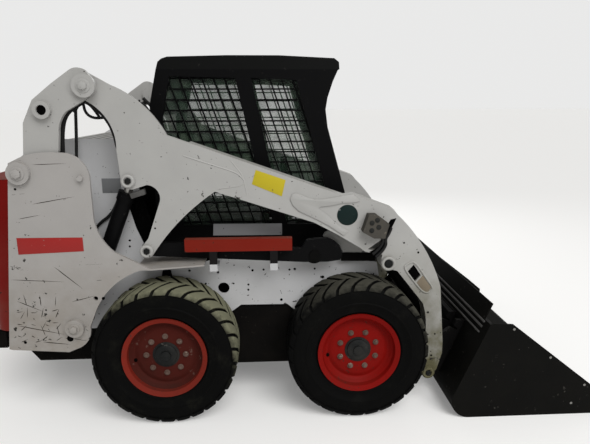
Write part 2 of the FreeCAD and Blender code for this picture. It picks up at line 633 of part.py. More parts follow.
for side, sign in SIDES:
    low, high = span(sign, S.arm_outer_y - S.arm_plate, S.arm_outer_y)
    web = plate(f"arm_web_{side}", "XZ", low, high, arm_outline)
    low, high = span(sign, S.arm_outer_y - S.arm_width, S.arm_outer_y - S.arm_plate)
    beam = plate(f"arm_beam_{side}", "XZ", low, high, beam_outline)
    low, high = span(sign, S.arm_outer_y - 60, S.arm_outer_y + 5)
    notch = plate(f"arm_notch_{side}", "XZ", low, high, notch_outline)
    low, high = span(sign, S.arm_outer_y - 60, S.arm_outer_y + 5)
    slot = plate(f"arm_slot_{side}", "XZ", low, high,
                 shift(*hinge, [(-110, 636), (-68, 574), (-98, 539), (-143, 596)]))
    shell = cut(f"arm_shell_{side}", fuse(f"arm_blank_{side}", web, beam), notch, slot)
    low, high = span(sign, S.arm_outer_y - S.arm_width, S.arm_outer_y)
    foot = plate(f"arm_foot_blank_{side}", "XZ", low, high, shift(*hinge, FOOT_ROWS))
    bosses = [cylinder(f"arm_boss_{kind}_{side}", "y", place, radius, *span(sign, inner, S.arm_outer_y + 14))
              for kind, place, radius, inner in (
                  ("control", control_pin, 36, S.arm_outer_y - S.arm_plate),
                  ("lift", lift_eye, 36, S.arm_outer_y - S.arm_plate - 20),
                  ("tilt", tilt_base, 40, S.arm_outer_y - S.arm_width))]
    pins = [cylinder(f"arm_pin_{kind}_{side}", "y", place, radius, *span(sign, inner, S.arm_outer_y + 4))
            for kind, place, radius, inner in (
                ("control", control_pin, S.pin_radius - 6, S.control_outer_y - S.control_plate - 6),
                ("tilt", tilt_base, S.pin_radius - 8, S.tilt_cylinder_y - S.eye_width / 2 - 8))]
    node(f"arm_{side}", fuse(f"arm_{side}_welded", shell, *bosses, *pins))
    foot_boss = cylinder(f"arm_boss_hinge_{side}", "y", hinge, 36,
                         *span(sign, S.arm_outer_y - S.arm_width, S.arm_outer_y + 14))
    foot_pin = cylinder(f"arm_pin_hinge_{side}", "y", hinge, S.pin_radius - 5,
                        *span(sign, S.side_outer_y - 12, S.arm_outer_y + 4))
    node(f"arm_foot_{side}", fuse(f"arm_foot_{side}_welded", foot, foot_boss, foot_pin))
cross_low = -(S.arm_outer_y - S.arm_width)
node("arm_cross_tube", cylinder("arm_cross_tube_body", "y", (S.cross_tube_x, S.cross_tube_z), S.cross_tube_radius,
                                cross_low, -cross_low))

# Cylinders: barrel with a long bore, rod with its eye
def make_cylinder(name, sign, base, eye, y, radii, base_pin, rod_start, barrel_end):
    """Barrel and rod between two pins."""
    across, up = eye[0] - base[0], eye[1] - base[1]
    length = root_of(across * across + up * up)
    turn = bearing(across, up)
    barrel_radius, rod_radius = radii
    middle = y * sign
    half_eye = S.eye_width / 2
    reach = barrel_radius + 5
    base_eye = cylinder(f"{name}_base_eye", "y", base, barrel_radius + 8, middle - half_eye, middle + half_eye)
    tube = rod(f"{name}_tube", base, turn, middle, barrel_radius, 20, length - barrel_end)
    gland = rod(f"{name}_gland", base, turn, middle, barrel_radius + 5, length - barrel_end - 45, length - barrel_end)
    bore = rod(f"{name}_bore", base, turn, middle, rod_radius + 0.5, barrel_radius + 22, length)
    pin_hole = cylinder(f"{name}_pin_hole", "y", base, base_pin + S.pin_gap, middle - reach, middle + reach)
    barrel = cut(f"{name}_barrel", fuse(f"{name}_barrel_blank", base_eye, tube, gland), bore, pin_hole)
    bar = rod(f"{name}_bar", base, turn, middle, rod_radius, rod_start, length - 20)
    rod_eye = cylinder(f"{name}_rod_eye", "y", eye, barrel_radius - 4, middle - half_eye, middle + half_eye)
    eye_hole = cylinder(f"{name}_eye_hole", "y", eye, rod_radius, middle - reach, middle + reach)
    return barrel, cut(f"{name}_rod", fuse(f"{name}_rod_blank", bar, rod_eye), eye_hole)


for kind, base, eye, y, radii, base_pin, rod_start, barrel_end in (
        ("lift", lift_base, lift_eye, S.lift_cylinder_y, (S.lift_barrel_radius, S.lift_rod_radius), S.pin_radius,
         66, 78),
        ("tilt", tilt_base, tilt_eye, S.tilt_cylinder_y, (S.tilt_barrel_radius, S.tilt_rod_radius), S.pin_radius - 8,
         145, 125)):
    made = [make_cylinder(f"{kind}_{side}", sign, base, eye, y, radii, base_pin, rod_start, barrel_end)
            for side, sign in SIDES]
    node(f"{kind}_barrels", group(f"{kind}_barrel_pair", *(pair[0] for pair in made)))
    node(f"{kind}_rods", group(f"{kind}_rod_pair", *(pair[1] for pair in made)))

# Coupler and bucket: both are drawn along the bucket's leaning back
back_across = S.bucket_top_x - S.bucket_heel_x
back_up = S.bucket_top_z - S.bucket_heel_z
back_length = root_of(back_across * back_across + back_up * back_up)
back_dir = (back_across / back_length, back_up / back_length)


def on_back(along, behind):
    """Point at a distance up the bucket's back and a distance behind it."""
    return (S.bucket_heel_x + back_dir[0] * along - back_dir[1] * behind,
            S.bucket_heel_z + back_dir[1] * along + back_dir[0] * behind)


face_outline = [on_back(56, 0.3), on_back(400, 0.3), on_back(400, 18), on_back(56, 18)]
ear_outline = ([on_back(60, 18), on_back(330, 18), on_back(330, 60)]
               + shift(*tilt_eye, [(-8, 36), (-34, 10, "via"), (-30, -18)])
               + shift(*hinge, [(-26, 30), (-38, -4, "via"), (-16, -36)]))
half_coupler = S.arm_outer_y - S.arm_width - 5
coupler_face = cut("coupler_face", plate("coupler_plate", "XZ", -half_coupler, half_coupler, face_outline),
                   plate("coupler_window", "XZ", -320, 320,
                         [on_back(110, -20), on_back(330, -20), on_back(330, 40), on_back(110, 40)]))
top_bar = plate("coupler_top_bar", "XZ", -half_coupler, half_coupler,
                [on_back(340, 18), on_back(395, 18), on_back(385, 48), on_back(350, 48)])
ears, rod_rooms = [], []
room = (S.tilt_cylinder_y - S.tilt_barrel_radius - 11, half_coupler - 28)
for side, sign in SIDES:
    for kind, (inner, outer), holes in (
            ("outer", (room[1], half_coupler), [(*hinge, S.pin_radius - 5 + S.pin_gap)]),
            ("inner", (room[0] - 24, room[0]), [])):
        low, high = span(sign, inner, outer)
        ears.append(plate(f"coupler_ear_{kind}_{side}", "XZ", low, high, ear_outline, holes=holes))
    low, high = span(sign, *room)
    rod_rooms.append(plate(f"coupler_rod_room_{side}", "XZ", low, high,
                           [on_back(200, -20), on_back(410, -20), on_back(410, 60), on_back(200, 60)]))
coupler_back = cut("coupler_back", fuse("coupler_face_and_bar", coupler_face, top_bar), *rod_rooms)
node("coupler", fuse("coupler_welded", coupler_back, *ears))

inner_y = S.bucket_half_width - S.bucket_side
tangent = S.heel_radius * (1 + back_dir[0]) / back_dir[1]
heel_middle = (S.bucket_heel_x - S.bucket_heel_z * back_across / back_up + tangent, S.heel_radius)
heel_reach = root_of(tangent * tangent + S.heel_radius * S.heel_radius)


def heel_arc(radius):
    """Rows of the rounding from the floor to the back, at a radius from its middle."""
    x, z = heel_middle
    return [(x, z - radius), (x - radius * tangent / heel_reach, z - radius * S.heel_radius / heel_reach, "via"),
            (x - radius * back_dir[1], z + radius * back_dir[0])]


heel_outer, heel_inner = heel_arc(S.heel_radius), heel_arc(S.heel_radius - S.bucket_plate)
shell_outline = [
    (S.bucket_tip_x, 0), *heel_outer, (S.bucket_top_x, S.bucket_top_z), on_back(back_length, -S.bucket_plate),
    *reversed(heel_inner), (S.bucket_tip_x - 150, S.bucket_plate), (S.bucket_tip_x - 150, S.bucket_plate * 2),
    (S.bucket_tip_x - 30, S.bucket_plate * 2), (S.bucket_tip_x, 4)]
side_sheet = [
    (S.bucket_tip_x - 60, 0), *heel_outer, (S.bucket_top_x, S.bucket_top_z),
    (S.bucket_top_x + 19, S.bucket_top_z + 6), (S.bucket_top_x + 125, S.bucket_top_z - 3),
    (S.bucket_tip_x - 108, 180), (S.bucket_tip_x - 8, 96), (S.bucket_tip_x - 8, 20)]
bucket_shell = plate("bucket_shell", "XZ", -inner_y, inner_y, shell_outline)
side_sheets = [plate(f"bucket_side_{side}", "XZ", *span(sign, inner_y, S.bucket_half_width), side_sheet)
               for side, sign in SIDES]
lip_beam = plate("bucket_top_beam", "XZ", -inner_y, inner_y,
                 [on_back(back_length - 70, -S.bucket_plate), on_back(back_length - 4, -S.bucket_plate),
                  on_back(back_length - 4, -44), on_back(back_length - 44, -44)])
guard = plate("bucket_guard", "XZ", -780, 780,
              [on_back(back_length - 2, 0), on_back(back_length + 94, 0), on_back(back_length + 94, -8),
               on_back(back_length - 2, -8)])
node("bucket", fuse("bucket_welded", bucket_shell, lip_beam, guard, *side_sheets))

# Cab: side frames with windows, roof, rear wall, panes, screens
roof_low = S.cab_top_z - S.roof_thickness
window_low = S.deck_z + 160
cab_side_outline = [
    (S.cab_rear_x, S.deck_z + S.deck_plate), (S.cab_rear_x, roof_low - 189), (S.cab_rear_x + 44, roof_low),
    (S.cab_rear_x + 1020, roof_low), (S.cab_rear_x + 992, roof_low - 63), (S.cab_rear_x + 964, roof_low - 148),
    (S.cab_rear_x + 954, roof_low - 212), (S.cab_rear_x + 966, roof_low - 307), (S.cab_rear_x + 1070, window_low + 180),
    (S.cab_rear_x + 1150, S.deck_z + S.deck_plate)]
rear_window = [
    (S.cab_rear_x + 112, roof_low - 36), (S.cab_rear_x + 463, roof_low - 44), (S.cab_rear_x + 560, roof_low - 489),
    (S.cab_rear_x + 660, window_low), (S.cab_rear_x + 150, window_low), (S.cab_rear_x + 60, roof_low - 281)]
front_window = [
    (S.cab_rear_x + 549, roof_low - 44), (S.cab_rear_x + 792, roof_low - 57), (S.cab_rear_x + 954, window_low + 220),
    (S.cab_rear_x + 1000, window_low), (S.cab_rear_x + 740, window_low), (S.cab_rear_x + 640, roof_low - 489)]
WINDOWS = (("rear", rear_window), ("front", front_window))
for side, sign in SIDES:
    low, high = span(sign, S.cab_half_width - S.cab_wall, S.cab_half_width)
    node(f"cab_side_{side}",
         plate(f"cab_side_{side}_body", "XZ", low, high, cab_side_outline, openings=[rear_window, front_window]))
roof_outline = [
    (S.cab_rear_x + 44, roof_low), (S.cab_rear_x + 56, roof_low + 38), (S.cab_rear_x + 76, roof_low + 54),
    (S.cab_rear_x + 107, S.cab_top_z - 8), (S.cab_rear_x + 420, S.cab_top_z), (S.cab_rear_x + 700, S.cab_top_z),
    (S.cab_rear_x + 998, S.cab_top_z - 14), (S.cab_rear_x + 1024, roof_low + 38), (S.cab_rear_x + 1027, roof_low)]
node("cab_roof", plate("cab_roof_body", "XZ", -S.cab_half_width, S.cab_half_width, roof_outline))
rear_wall_half = S.cab_half_width - S.cab_wall
rear_opening = [(-rear_wall_half + 70, window_low + 240), (rear_wall_half - 70, window_low + 240),
                (rear_wall_half - 70, roof_low - 246), (-rear_wall_half + 70, roof_low - 246)]
node("cab_rear_wall", plate("cab_rear_wall_body", "YZ", S.cab_rear_x, S.cab_rear_x + S.cab_wall,
                            [(-rear_wall_half, S.deck_z + S.deck_plate), (rear_wall_half, S.deck_z + S.deck_plate),
                             (rear_wall_half, roof_low - 189), (-rear_wall_half, roof_low - 189)],
                            openings=[rear_opening]))


def grown(rows, by):
    """Outline with every corner moved away from the outline's middle."""
    middle = [sum(number(row[n]) for row in rows) / len(rows) for n in (0, 1)]
    moved = []
    for across, up in rows:
        run, rise = number(across) - middle[0], number(up) - middle[1]
        reach = math.hypot(run, rise)
        moved.append((across + by * run / reach, up + by * rise / reach))
    return moved


panes = [box("rear_pane", (S.cab_rear_x + S.cab_wall, S.cab_rear_x + S.cab_wall + S.glass_thickness),
             (-rear_wall_half + 50, rear_wall_half - 50), (window_low + 220, roof_low - 226))]
for side, sign in SIDES:
    pane_outer = rear_wall_half - 2 * S.mesh_bar - S.seat_gap
    for kind, window in WINDOWS:
        low, high = span(sign, pane_outer - S.glass_thickness, pane_outer)
        panes.append(plate(f"{kind}_pane_{side}", "XZ", low, high, grown(window, 20)))
node("cab_panes", group("cab_pane_set", *panes))

# Side screens: slanted and level bars, trimmed to each window with a margin that laps the frame
for side, sign in SIDES:
    slanted = span(sign, rear_wall_half - S.mesh_bar, rear_wall_half)
    level = span(sign, rear_wall_half - 2 * S.mesh_bar, rear_wall_half - S.mesh_bar)
    bars = []
    for index in range(17):
        bar = box(f"slanted_bar_{side}_{index}", (0, S.mesh_bar), slanted, (0, (roof_low - window_low) * 1.09))
        start_x = S.cab_rear_x - 151 + index * S.mesh_pitch_along
        bars.append(lean(bar, start_x, slanted[0], roof_low - 16, 180 - S.mesh_lean))
    for index in range(15):
        low_z = window_low + 10 + index * S.mesh_pitch_up
        bars.append(box(f"level_bar_{side}_{index}", (S.cab_rear_x, S.cab_rear_x + 1100), level,
                        (low_z, low_z + S.mesh_bar)))
    limits = [plate(f"{kind}_screen_limit_{side}", "XZ", *span(sign, rear_wall_half - 30, rear_wall_half + 5),
                    grown(window, 20)) for kind, window in WINDOWS]
    trimmed = doc.addObject("Part::Common", f"screen_trim_{side}")
    trimmed.Base = group(f"screen_bars_{side}", *bars)
    trimmed.Tool = group(f"screen_limits_{side}", *limits)
    node(f"screen_{side}", trimmed)

# Inside the cab: seat pan, seat, seat bar, levers
pan_half = rear_wall_half - S.seat_gap
node("seat_pan", box("seat_pan_body", (S.cab_rear_x + S.cab_wall, S.cab_rear_x + 640), (-pan_half, pan_half),
                     (S.deck_z + S.deck_plate, S.seat_top_z - 110)))
cushion = plate("seat_cushion", "XZ", -235, 235,
                [(S.cab_rear_x + 170, S.seat_top_z - 110), (S.cab_rear_x + 600, S.seat_top_z - 110),
                 (S.cab_rear_x + 615, S.seat_top_z - 20), (S.cab_rear_x + 560, S.seat_top_z),
                 (S.cab_rear_x + 190, S.seat_top_z - 20)])
back_rest = plate("seat_back", "XZ", -225, 225,
                  [(S.cab_rear_x + 150, S.seat_top_z - 60), (S.cab_rear_x + 260, S.seat_top_z - 60),
                   (S.cab_rear_x + 190, S.seat_top_z + 430), (S.cab_rear_x + 110, S.seat_top_z + 440),
                   (S.cab_rear_x + 60, S.seat_top_z + 380)])
node("seat", fuse("seat_whole", cushion, back_rest))

bar_pivot = (S.cab_rear_x + 55, S.seat_top_z + 330)
bar_half = rear_wall_half - 45
bar_radius, stub_radius = 14, 10
bar_parts = [cylinder("seat_bar_cross", "y", (bar_pivot[0] + 620, bar_pivot[1] - 110), bar_radius, -bar_half, bar_half)]
pivots = []
for side, sign in SIDES:
    low, high = span(sign, bar_half - 2 * bar_radius, bar_half)
    bar_parts.append(plate(f"seat_bar_arm_{side}", "XZ", low, high,
                           shift(*bar_pivot, [(-10, 16), (-22, 0, "via"), (-10, -16), (616, -126), (626, -96)])))
    low, high = span(sign, bar_half, rear_wall_half - 5)
    bar_parts.append(cylinder(f"seat_bar_stub_{side}", "y", bar_pivot, stub_radius, low, high))
    low, high = span(sign, bar_half + S.seat_gap, rear_wall_half)
    pivots.append(cut(f"seat_bar_pivot_{side}", cylinder(f"pivot_round_{side}", "y", bar_pivot, 24, low, high),
                      cylinder(f"pivot_hole_{side}", "y", bar_pivot, stub_radius + S.pin_gap, low - 5, high + 5)))
node("seat_bar", fuse("seat_bar_welded", *bar_parts))
node("seat_bar_pivots", group("seat_bar_pivot_pair", *pivots))

lever_foot = (S.cab_rear_x + 750, S.deck_z + 110)
levers = []
for side, sign in SIDES:
    lever_y = 210 * sign
    pod = box(f"lever_pod_{side}", (lever_foot[0] - 50, lever_foot[0] + 50), (lever_y - 40, lever_y + 40),
              (S.deck_z - 250, S.deck_z + 120))
    stick = rod(f"lever_stick_{side}", lever_foot, S.lever_lean, lever_y, 11, 0, 260)
    grip = rod(f"lever_grip_{side}", lever_foot, S.lever_lean, lever_y, 20, 250, 380)
    levers.append(fuse(f"lever_{side}", pod, stick, grip))
floor_half = S.tub_half_width - wall
node("foot_floor", box("foot_floor_body", (S.cab_rear_x + 640, S.front_x - wall), (-floor_half, floor_half),
                       (S.deck_z - 270, S.deck_z - 250)))
node("control_levers", group("control_lever_pair", *levers))

# Rear: bulkhead, engine, hood with its cowl, tailgate, bumper
bulk_x = S.cab_rear_x - 76
node("bulkhead", box("bulkhead_body", (bulk_x, bulk_x + 8), (-plate_inner_y, plate_inner_y),
                     (S.deck_z + S.deck_plate, S.hood_z - S.seat_gap)))
node("engine", box("engine_body", (S.tail_x + 220, bulk_x - 20), (-300, 300), (S.belly_z + wall, 1080)))
hood_top = S.hood_z + S.hood_plate
hood_front_x = S.cab_rear_x - 58
hood_half = plate_inner_y - S.seat_gap - 3
tail_run = (S.tower_pin_x - 48, S.tower_pin_z + 48, S.tower_pin_x - 159, S.tower_pin_z - 925)


def tail_edge(z, behind):
    """Point at a height, the given distance behind the towers' rear edge."""
    top_x, top_z, low_x, low_z = tail_run
    return (low_x + (top_x - low_x) * (z - low_z) / (top_z - low_z) - behind, z)


cowl_low = S.tailgate_high_z + 8
hood_shell = plate("hood_shell", "XZ", -hood_half, hood_half,
                   [(hood_front_x, S.hood_z), (hood_front_x, hood_top), (S.tower_pin_x + 70, hood_top),
                    (S.tower_pin_x - 28, S.tower_pin_z + 75), (S.tower_pin_x - 40, S.tower_pin_z + 46),
                    tail_edge(cowl_low, -8), tail_edge(cowl_low, -28), (S.tower_pin_x - 20, S.tower_pin_z + 46),
                    (S.tower_pin_x - 11, S.tower_pin_z + 65), (S.tower_pin_x + 78, S.hood_z)])
hood_hinge = cylinder("hood_hinge_bar", "y", (hood_front_x, S.hood_z + S.hood_plate / 2), S.hood_plate / 2,
                      -hood_half, hood_half)
slots = [box(f"hood_slot_{n}", (S.tower_pin_x + 110 + 52 * n, S.tower_pin_x + 136 + 52 * n), (-380, 380),
             (S.hood_z - 10, hood_top + 10)) for n in range(7)]
node("hood", cut("hood_lid", fuse("hood_blank", hood_shell, hood_hinge), *slots))
rails = [box(f"hood_rail_{side}", (S.tower_pin_x + 100, S.cab_rear_x - 80), span(sign, plate_inner_y - 22, plate_inner_y),
             (S.hood_z - 16, S.hood_z - S.seat_gap)) for side, sign in SIDES]
node("hood_rails", group("hood_rail_pair", *rails))

wide, deep = S.tailgate_half_width, S.tailgate_wall
tail_gap = 16
tail_shell = plate("tailgate_shell", "XY", S.tailgate_low_z, S.tailgate_high_z,
                   [(S.tower_pin_x, -wide), (S.tower_pin_x, wide), (S.tail_x + 95, wide),
                    (S.tail_x + 28, wide - 28, "via"), (S.tail_x, wide - 95), (S.tail_x, -wide + 95),
                    (S.tail_x + 28, -wide + 28, "via"), (S.tail_x + 95, -wide)])
tail_hollow = plate("tailgate_hollow", "XY", S.tailgate_low_z + deep, S.tailgate_high_z - deep,
                    [(S.tower_pin_x + 10, -wide + deep), (S.tower_pin_x + 10, wide - deep), (S.tail_x + 95, wide - deep),
                     (S.tail_x + 44, wide - 44, "via"), (S.tail_x + deep, wide - 95),
                     (S.tail_x + deep, -wide + 95), (S.tail_x + 44, -wide + 44, "via"), (S.tail_x + 95, -wide + deep)])
tail_front = plate("tailgate_front_trim", "XZ", -wide - 10, wide + 10,
                   [tail_edge(S.tailgate_low_z - 10, tail_gap), tail_edge(S.tailgate_high_z + 10, tail_gap),
                    (S.tower_pin_x + 50, S.tailgate_high_z + 10), (S.tower_pin_x + 50, S.tailgate_low_z - 10)])
louvres = [box(f"tailgate_louvre_{n}", (S.tail_x - 5, S.tail_x + deep + 5), (-380, 380),
               (S.tailgate_low_z + 330 + 62 * n, S.tailgate_low_z + 362 + 62 * n)) for n in range(7)]
lamp_holes, lamps = [], []
for side, sign in SIDES:
    for grow, depth, kept, kind in ((0, (-5, deep + 5), lamp_holes, "hole"), (S.seat_gap, (1, deep), lamps, "glass")):
        kept.append(box(f"tail_lamp_{kind}_{side}", (S.tail_x + depth[0], S.tail_x + depth[1]),
                        span(sign, wide - 165 + grow, wide - 105 - grow),
                        (S.tailgate_high_z - 220 + grow, S.tailgate_high_z - 100 - grow)))
tail_hinge_y, tail_pin_radius, lug_radius = wide + 20, 6, tail_gap - S.seat_gap
tail_lean = bearing(tail_run[0] - tail_run[2], tail_run[1] - tail_run[3])
tail_foot = tail_edge(tail_run[3], tail_gap)
knuckles, bores, hinge_pins = [], [], []
for index, low in enumerate((110, 700)):
    knuckles.append(rod(f"knuckle_{index}", tail_foot, tail_lean, tail_hinge_y, 11, low, low + 50))
    leaf_low, leaf_high = (tail_run[3] + (low + up) * cosine(tail_lean) for up in (5, 45))
    knuckles.append(plate(f"hinge_leaf_{index}", "XZ", wide - 5, tail_hinge_y - 5,
                          [tail_edge(leaf_low, tail_gap + 45), tail_edge(leaf_low, tail_gap),
                           tail_edge(leaf_high, tail_gap), tail_edge(leaf_high, tail_gap + 45)]))
    bores.append(rod(f"hinge_bore_{index}", tail_foot, tail_lean, tail_hinge_y, tail_pin_radius + S.pin_gap,
                     low - 5, low + 55))
    hinge_pins.append(fuse(
        f"hinge_pin_{index}",
        rod(f"hinge_shank_{index}", tail_foot, tail_lean, tail_hinge_y, tail_pin_radius, low - 20, low + 70),
        rod(f"hinge_lower_lug_{index}", tail_foot, tail_lean, tail_hinge_y, lug_radius, low - 20, low - 0.5),
        rod(f"hinge_upper_lug_{index}", tail_foot, tail_lean, tail_hinge_y, lug_radius, low + 50.5, low + 70)))
tail_body = fuse("tailgate_body", cut("tailgate_box", tail_shell, tail_hollow, tail_front), *knuckles)
node("tailgate", cut("tailgate_door", tail_body, *louvres, *lamp_holes, *bores))
node("tailgate_hinge_pins", group("hinge_pin_pair", *hinge_pins))
node("tail_lamps", group("tail_lamp_pair", *lamps))
node("rear_bumper", plate("rear_bumper_body", "XZ", -wide + 20, wide - 20,
                          [(S.tail_x + 10, 345), (tub_rear_x, 345), (tub_rear_x, tub_step_z),
                           (S.tail_x + 10, tub_step_z)]))

# Arm support stowed on the right side, hydraulic block on the right arm
channel_x = (S.rear_axle_x + 120, S.rear_axle_x + 676)
channel_y = (-S.arm_outer_y - 30, -S.arm_outer_y + 14)
channel_z, leg_low = (S.deck_z + 87, S.deck_z + 153), S.deck_z - 20
channel = cut("channel", box("channel_outer", channel_x, channel_y, channel_z),
              box("channel_inner", (channel_x[0] - 5, channel_x[1] + 5), (channel_y[0] + 8, channel_y[1] + 6),
                  (channel_z[0] + 8, channel_z[1] - 8)))
supports = []
for index, x in enumerate((S.rear_axle_x + 245, S.rear_axle_x + 560)):
    supports.append(box(f"channel_leg_{index}", (x, x + 40), (channel_y[0], -S.side_outer_y),
                        (leg_low, leg_low + 12)))
    supports.append(box(f"channel_post_{index}", (x, x + 40), (channel_y[0], channel_y[0] + 12),
                        (leg_low + 12, channel_z[0] + 4)))
node("arm_support", fuse("arm_support_welded", channel, *supports))
node("hydraulic_block", plate("hydraulic_block_body", "XZ", -S.arm_outer_y - 60, -S.arm_outer_y, shift(*tilt_base, [
    (-151, 186), (-122, 277), (-80, 276), (-14, 227), (-33, 151), (-92, 152)])))

doc.recompute()


def check():
    """Stop if any object failed, or a node's shape is empty or invalid."""
    failed = [thing.Name for thing in doc.Objects if {"Invalid", "Error"} & set(thing.State)]
    failed += [label for label, thing in nodes.items() if thing.Shape.isNull() or not thing.Shape.isValid()]
    failed += [label for label, thing in nodes.items() if not thing.Shape.Solids]
    if failed:
        raise RuntimeError("these objects failed: " + ", ".join(failed))


check()
os.makedirs("parts", exist_ok=True)
for label, thing in nodes.items():
    thing.Shape.exportStep(f"parts/{label}.step")
    bounds = thing.Shape.BoundBox
    print(f"{label}: {len(thing.Shape.Solids)} solids, {thing.Shape.Volume / 1e6:.2f} litres, "
          f"x {bounds.XMin:.0f}..{bounds.XMax:.0f} y {bounds.YMin:.0f}..{bounds.YMax:.0f} "
          f"z {bounds.ZMin:.0f}..{bounds.ZMax:.0f}")
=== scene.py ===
"""Looks of the skid steer loader: worn white paint, red wheels, dusty tyres, mesh cab and dirt bucket."""

from __future__ import annotations

import logging
import math
from dataclasses import dataclass, field
from enum import Enum
from typing import Callable, Iterable, Sequence

import bpy
from mathutils import Matrix, Vector

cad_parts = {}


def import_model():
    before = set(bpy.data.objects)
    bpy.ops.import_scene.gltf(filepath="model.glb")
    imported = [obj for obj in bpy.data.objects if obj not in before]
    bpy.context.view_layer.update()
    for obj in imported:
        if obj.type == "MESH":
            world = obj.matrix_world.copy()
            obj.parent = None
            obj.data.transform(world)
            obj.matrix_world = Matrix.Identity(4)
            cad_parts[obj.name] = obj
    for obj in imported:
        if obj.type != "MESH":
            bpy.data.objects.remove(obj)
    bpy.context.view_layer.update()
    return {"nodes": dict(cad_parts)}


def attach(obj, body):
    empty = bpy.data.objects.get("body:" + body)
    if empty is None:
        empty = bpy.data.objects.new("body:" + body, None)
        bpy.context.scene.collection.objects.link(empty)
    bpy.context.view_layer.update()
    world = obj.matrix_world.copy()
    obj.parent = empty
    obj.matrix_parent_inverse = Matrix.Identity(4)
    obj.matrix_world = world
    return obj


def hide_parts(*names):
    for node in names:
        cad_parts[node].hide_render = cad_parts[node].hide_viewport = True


LOG = logging.getLogger("loader")
Point2 = tuple[float, float]
Point3 = tuple[float, float, float]
Colour = tuple[float, float, float]
Tree = bpy.types.NodeTree
Node = bpy.types.Node
Socket = bpy.types.NodeSocket
Thing = bpy.types.Object
Material = bpy.types.Material


class Side(Enum):
    """The machine's two sides, with the sign of Y on each."""

    LEFT = 1
    RIGHT = -1

    @property
    def word(self) -> str:
        """The side's name as the CAD nodes end with it."""
        return self.name.lower()


class Axle(Enum):
    """The two axles, with their place along X in metres."""

    REAR = -0.715
    FRONT = 0.314

    @property
    def word(self) -> str:
        """The axle's name as the CAD nodes hold it."""
        return self.name.lower()


# Shader nodes

@dataclass
class NodeKit:
    """A shader node tree with short ways to add to it."""

    tree: Tree

    def feed(self, socket: Socket, value: object) -> None:
        """Lead an output into an input socket, or set the socket to a value.

        Args:
            socket: the input socket.
            value: an output socket or a plain value.
        """
        if isinstance(value, Socket):
            self.tree.links.new(value, socket)
        else:
            socket.default_value = value

    def add(self, kind: str, settings: dict | None = None, **inputs: object) -> Node:
        """Add a node, set it and feed its inputs.

        Args:
            kind: the node's type name.
            settings: attributes set on the node first.
            inputs: socket name (underscores for spaces, or _N for an index) to a value or an output socket.

        Returns:
            The new node.
        """
        made = self.tree.nodes.new(kind)
        for key, value in (settings or {}).items():
            setattr(made, key, value)
        for key, value in inputs.items():
            self.feed(made.inputs[int(key[1:]) if key[0] == "_" else key.replace("_", " ")], value)
        return made

    def math(self, operation: str, first: object, second: object = 0.0, clamp: bool = False) -> Socket:
        """Add a Math node and give its output."""
        settings = {"operation": operation, "use_clamp": clamp}
        return self.add("ShaderNodeMath", settings, _0=first, _1=second).outputs[0]

    def times(self, first: object, second: object, clamp: bool = False) -> Socket:
        """Multiply two values."""
        return self.math("MULTIPLY", first, second, clamp)

    def plus(self, first: object, second: object, clamp: bool = False) -> Socket:
        """Add two values."""
        return self.math("ADD", first, second, clamp)

    def ramp(self, value: object, low: float, high: float) -> Socket:
        """Turn a value into a mask that goes smoothly from 0 at low to 1 at high."""
        settings = {"interpolation_type": "SMOOTHSTEP"}
        return self.add("ShaderNodeMapRange", settings, _0=value, _1=low, _2=high).outputs[0]

    def blend(self, mask: object, under: object, over: object) -> Socket:
        """Mix two colours by a mask.

        Args:
            mask: 0 for the colour under, 1 for the colour over.
            under: a colour or an output socket.
            over: a colour or an output socket.

        Returns:
            The mixed colour's socket.
        """
        mixed = self.add("ShaderNodeMix", {"data_type": "RGBA"})
        for index, value in ((0, mask), (6, under), (7, over)):
            bare = isinstance(value, tuple) and len(value) == 3
            self.feed(mixed.inputs[index], (*value, 1.0) if bare else value)
        return mixed.outputs[2]

    def noise(self, place: Socket, scale: object, detail: float, roughness: float = 0.5) -> Socket:
        """Add a noise texture and give its value."""
        inputs = {"Vector": place, "Scale": scale, "Detail": detail, "Roughness": roughness}
        return self.add("ShaderNodeTexNoise", **inputs).outputs[0]

    def split(self, place: Socket) -> Sequence[Socket]:
        """Take a vector apart into X, Y and Z."""
        return self.add("ShaderNodeSeparateXYZ", Vector=place).outputs


class ShaderGroup(NodeKit):
    """A shader node group with named inputs and outputs, built once."""

    def __init__(self, name: str, numbers: dict[str, float], results: Sequence[str] = ("Mask",)):
        """Make the group with its sockets.

        Args:
            name: the group's name.
            numbers: the names and usual values of its inputs, which follow the place.
            results: the names of its outputs.
        """
        super().__init__(bpy.data.node_groups.new(name, "ShaderNodeTree"))
        self.tree.interface.new_socket(name="Vector", in_out="INPUT", socket_type="NodeSocketVector")
        for label, usual in numbers.items():
            socket = self.tree.interface.new_socket(name=label, in_out="INPUT", socket_type="NodeSocketFloat")
            socket.default_value = usual
        for label in results:
            self.tree.interface.new_socket(name=label, in_out="OUTPUT", socket_type="NodeSocketFloat")
        self.given = self.tree.nodes.new("NodeGroupInput").outputs
        self.end = self.tree.nodes.new("NodeGroupOutput")

    def result(self, label: str, socket: Socket) -> None:
        """Lead a socket to one of the group's outputs."""
        self.feed(self.end.inputs[label], socket)


